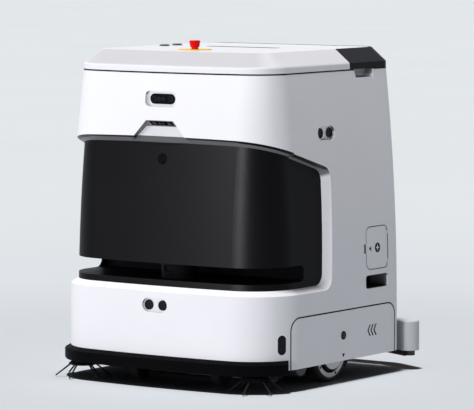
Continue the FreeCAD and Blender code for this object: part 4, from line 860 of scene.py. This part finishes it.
def add_camera_lenses(materials):
    """Glass eyes of the two depth cameras, with a ring round each."""
    right, up, ahead = Vector((1, 0, 0)), Vector((0, 0, 1)), Vector((0, -1, 0))
    low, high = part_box("upper_depth_camera")
    face_y = low[1] * MM
    z = (low[2] + high[2]) / 2 * MM
    large_x, large_radius, large_rise, small_rise = 21.08, 4.4, 1.1, 0.3
    small_eyes = ((-8.7, 3.0), (2.0, 2.4))
    eyes = [
        (Vector((x, face_y, z)), large_radius, large_rise, EYE_WELL_DEPTH)
        for x in (-large_x, large_x)
    ]
    eyes += [(Vector((x, face_y, z)), radius, small_rise, 0.0) for x, radius in small_eyes]
    add_lenses("upper_camera", eyes, right, up, ahead, materials)

    # The lower camera's face slopes down from the skin into the scoop
    slope_low, slope_high, depth, rise = 537.0, 550.5, 19.0, 0.4
    slope = Vector((0.0, depth, slope_low - slope_high)).normalized()
    out = Vector((0.0, slope.z, -slope.y))
    middle = Vector((0.0, front_at(slope_high) + depth / 2, (slope_low + slope_high) / 2))
    row = ((-19.0, 4.0), (-6.0, 2.6), (3.0, 2.2), (19.0, 4.0))
    eyes = [(middle + right * x, radius, rise, 0.0) for x, radius in row]
    add_lenses("lower_camera", eyes, right, slope, out, materials)


def add_button_rims(materials):
    """Dark ring on the deck round each round button."""
    # Section as (distance from the button, height over the deck)
    section = ((0.5, 0.0), (0.5, 0.5), (1.0, 0.8), (2.2, 0.6), (2.4, 0.0))
    count = 40
    for name in ("power_button", "start_button"):
        low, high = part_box(name)
        x, y = (low[0] + high[0]) / 2 * MM, (low[1] + high[1]) / 2 * MM
        radius = (high[0] - low[0]) / 2 * MM
        points = []
        for angle in turns(count):
            for reach, height in section:
                r = radius + reach
                points.append((x + r * math.cos(angle), y + r * math.sin(angle), DECK_Z + height))
        faces = tube_faces(count, len(section), closed=True)
        add_piece(name + "_rim", points, faces, materials["mark_black"], "frame")


def strand_points(out, along, source):
    """One bristle of a tuft as rings of points from root to tip, with the brush's axis at zero."""
    root_radius, tip_radius, root_z, tip_z, least_z = 24.0, 59.0, 28.6, 1.6, 1.2
    bundle, bundle_taper, thickness, taper = 1.8, 0.5, 0.75, 0.15
    fan_share, fan_stray, fan_power, least_length = 0.8, 0.3, 1.6, 0.93
    rings, sides = 5, 5
    up = Vector((0, 0, 1))
    turn = source.uniform(0.0, 2 * math.pi)
    wide = math.sqrt(source.random())
    shift = (along * math.cos(turn) + up * math.sin(turn)) * wide
    stray = source.uniform(-fan_stray, fan_stray)
    fan = along * (math.cos(turn) * wide * fan_share + stray)
    length = source.uniform(least_length, 1.0)
    points = []
    for ring in range(rings):
        share = ring / (rings - 1)
        r = root_radius + (tip_radius - root_radius) * share * length
        z = root_z + (tip_z - root_z) * share * length
        middle = out * r + Vector((0, 0, z)) + shift * (bundle - bundle_taper * share)
        middle += fan * share ** fan_power
        middle.z = max(middle.z, least_z)
        thick = thickness - taper * share
        for angle in turns(sides):
            points.append(
                middle + along * (thick * math.cos(angle)) + Vector((0, 0, thick * math.sin(angle)))
            )
    return points, rings, sides


def add_tufts(materials):
    """Bundles of single bristles in place of the plain tufts."""
    source = random.Random(7)
    tufts, first, pitch, strands = 6, 278.0, 60.0, 16
    axis_x, axis_y = BRUSH_AXIS
    for word, side in SIDES.items():
        points, faces = [], []
        for tuft in range(tufts):
            angle = math.radians(first + pitch * tuft)
            out = Vector((math.cos(angle), math.sin(angle), 0.0))
            along = Vector((-out.y, out.x, 0.0))
            for _ in range(strands):
                more, rings, size = strand_points(out, along, source)
                faces += tube_faces(rings, size, len(points))
                points += [(p.x + side * axis_x, p.y + axis_y, p.z) for p in more]
        piece = add_piece(
            word + "_tuft_bundles", points, faces, materials["tuft_black"], word + "_brush",
            smooth=True,
        )
        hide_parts(word + "_brush_tufts")


def add_floor():
    """Pale studio floor, a little lighter away from the object."""
    mesh = bpy.data.meshes.new("floor")
    form = bmesh.new()
    bmesh.ops.create_grid(form, x_segments=8, y_segments=8, size=FLOOR_SIZE)
    form.to_mesh(mesh)
    form.free()
    floor = bpy.data.objects.new("floor", mesh)
    floor.location = (0, 0, FLOOR_Z)
    bpy.context.scene.collection.objects.link(floor)
    nodes = Nodes("floor_paint")
    distance = nodes.reach(centre=(0.0, 0.0, 0.0), scale=(1.0, 1.0, 1.0))
    share = nodes.spread(distance, 0.0, 1.0, FLOOR_NEAR, FLOOR_FAR)
    tone = nodes.ramp(share, [(place, linear(*colour)) for place, colour in FLOOR_TONES])
    patches = nodes.noise(scale=0.8)
    cloud = nodes.ramp(patches, [(NOISE_LOW, grey(0.98)), (NOISE_HIGH, grey(1.0))])
    nodes.feed("Base Color", nodes.mix("MULTIPLY", tone, cloud))
    nodes.set(Roughness=0.8, Specular_IOR_Level=0.0)
    mesh.materials.append(nodes.material)
    return floor


def add_sun(name, towards, irradiance, spread):
    """A far lamp; irradiance 1 shows a white matt surface as white."""
    data = bpy.data.lights.new(name, "SUN")
    data.energy = irradiance * math.pi
    data.angle = math.radians(spread)
    lamp = bpy.data.objects.new(name, data)
    lamp.rotation_euler = Vector(towards).to_track_quat("Z", "Y").to_euler()
    bpy.context.scene.collection.objects.link(lamp)
    return lamp


def add_light(floor):
    """Two low lamps from the front, kept off the floor, one from above, and a sheen.

    The sheen lamp is only a reflection in the front panel, and the others give none.
    """
    lamps = {name: add_sun(name, *settings) for name, settings in LAMPS.items()}
    for name in ("key", "fill", "top"):
        lamps[name].visible_glossy = False
    lamps["sheen"].visible_diffuse = False
    flagged = bpy.data.collections.new("flagged")
    flagged.objects.link(floor)
    flagged.collection_objects[0].light_linking.link_state = "EXCLUDE"
    for name in ("key", "fill"):
        lamps[name].light_linking.receiver_collection = flagged
    glossy = bpy.data.collections.new("glossy")
    glossy.objects.link(frame["nodes"]["front_panel"])
    lamps["sheen"].light_linking.receiver_collection = glossy


def add_world():
    """Faint light from all round; cameras, mirrors and glass see a pale backdrop instead."""
    world = bpy.data.worlds.new("studio")
    bpy.context.scene.world = world
    world.use_nodes = True
    tree = world.node_tree
    tree.nodes.clear()
    output = tree.nodes.new("ShaderNodeOutputWorld")
    background = tree.nodes.new("ShaderNodeBackground")
    place = tree.nodes.new("ShaderNodeTexCoord")
    split = tree.nodes.new("ShaderNodeSeparateXYZ")
    height = tree.nodes.new("ShaderNodeMapRange")
    height.inputs["To Min"].default_value = SKY_LOW
    height.inputs["To Max"].default_value = SKY_HIGH
    background.inputs["Color"].default_value = linear(*SKY_COLOUR)
    tree.links.new(place.outputs["Generated"], split.inputs["Vector"])
    tree.links.new(split.outputs["Z"], height.inputs["Value"])
    path = tree.nodes.new("ShaderNodeLightPath")
    shown = path.outputs["Is Camera Ray"]
    for ray in ("Is Glossy Ray", "Is Transmission Ray"):
        either = tree.nodes.new("ShaderNodeMath")
        either.operation = "MAXIMUM"
        tree.links.new(shown, either.inputs[0])
        tree.links.new(path.outputs[ray], either.inputs[1])
        shown = either.outputs["Value"]
    strength = tree.nodes.new("ShaderNodeMix")
    tree.links.new(shown, strength.inputs[0])
    tree.links.new(height.outputs["Result"], strength.inputs[2])
    strength.inputs[3].default_value = BACKDROP
    tree.links.new(strength.outputs[0], background.inputs["Strength"])
    tree.links.new(background.outputs["Background"], output.inputs["Surface"])


materials = all_materials()
add_camera()
dress_nodes(materials)
add_lid_joint_shade(materials)
add_door_seals(materials)
add_flap_seal(materials)
add_slot_shade(materials)
add_signs(materials)
add_hub_screws(materials)
add_camera_lenses(materials)
add_button_rims(materials)
add_tufts(materials)
add_light(add_floor())
add_world()
bpy.context.scene.view_settings.view_transform = "Standard"
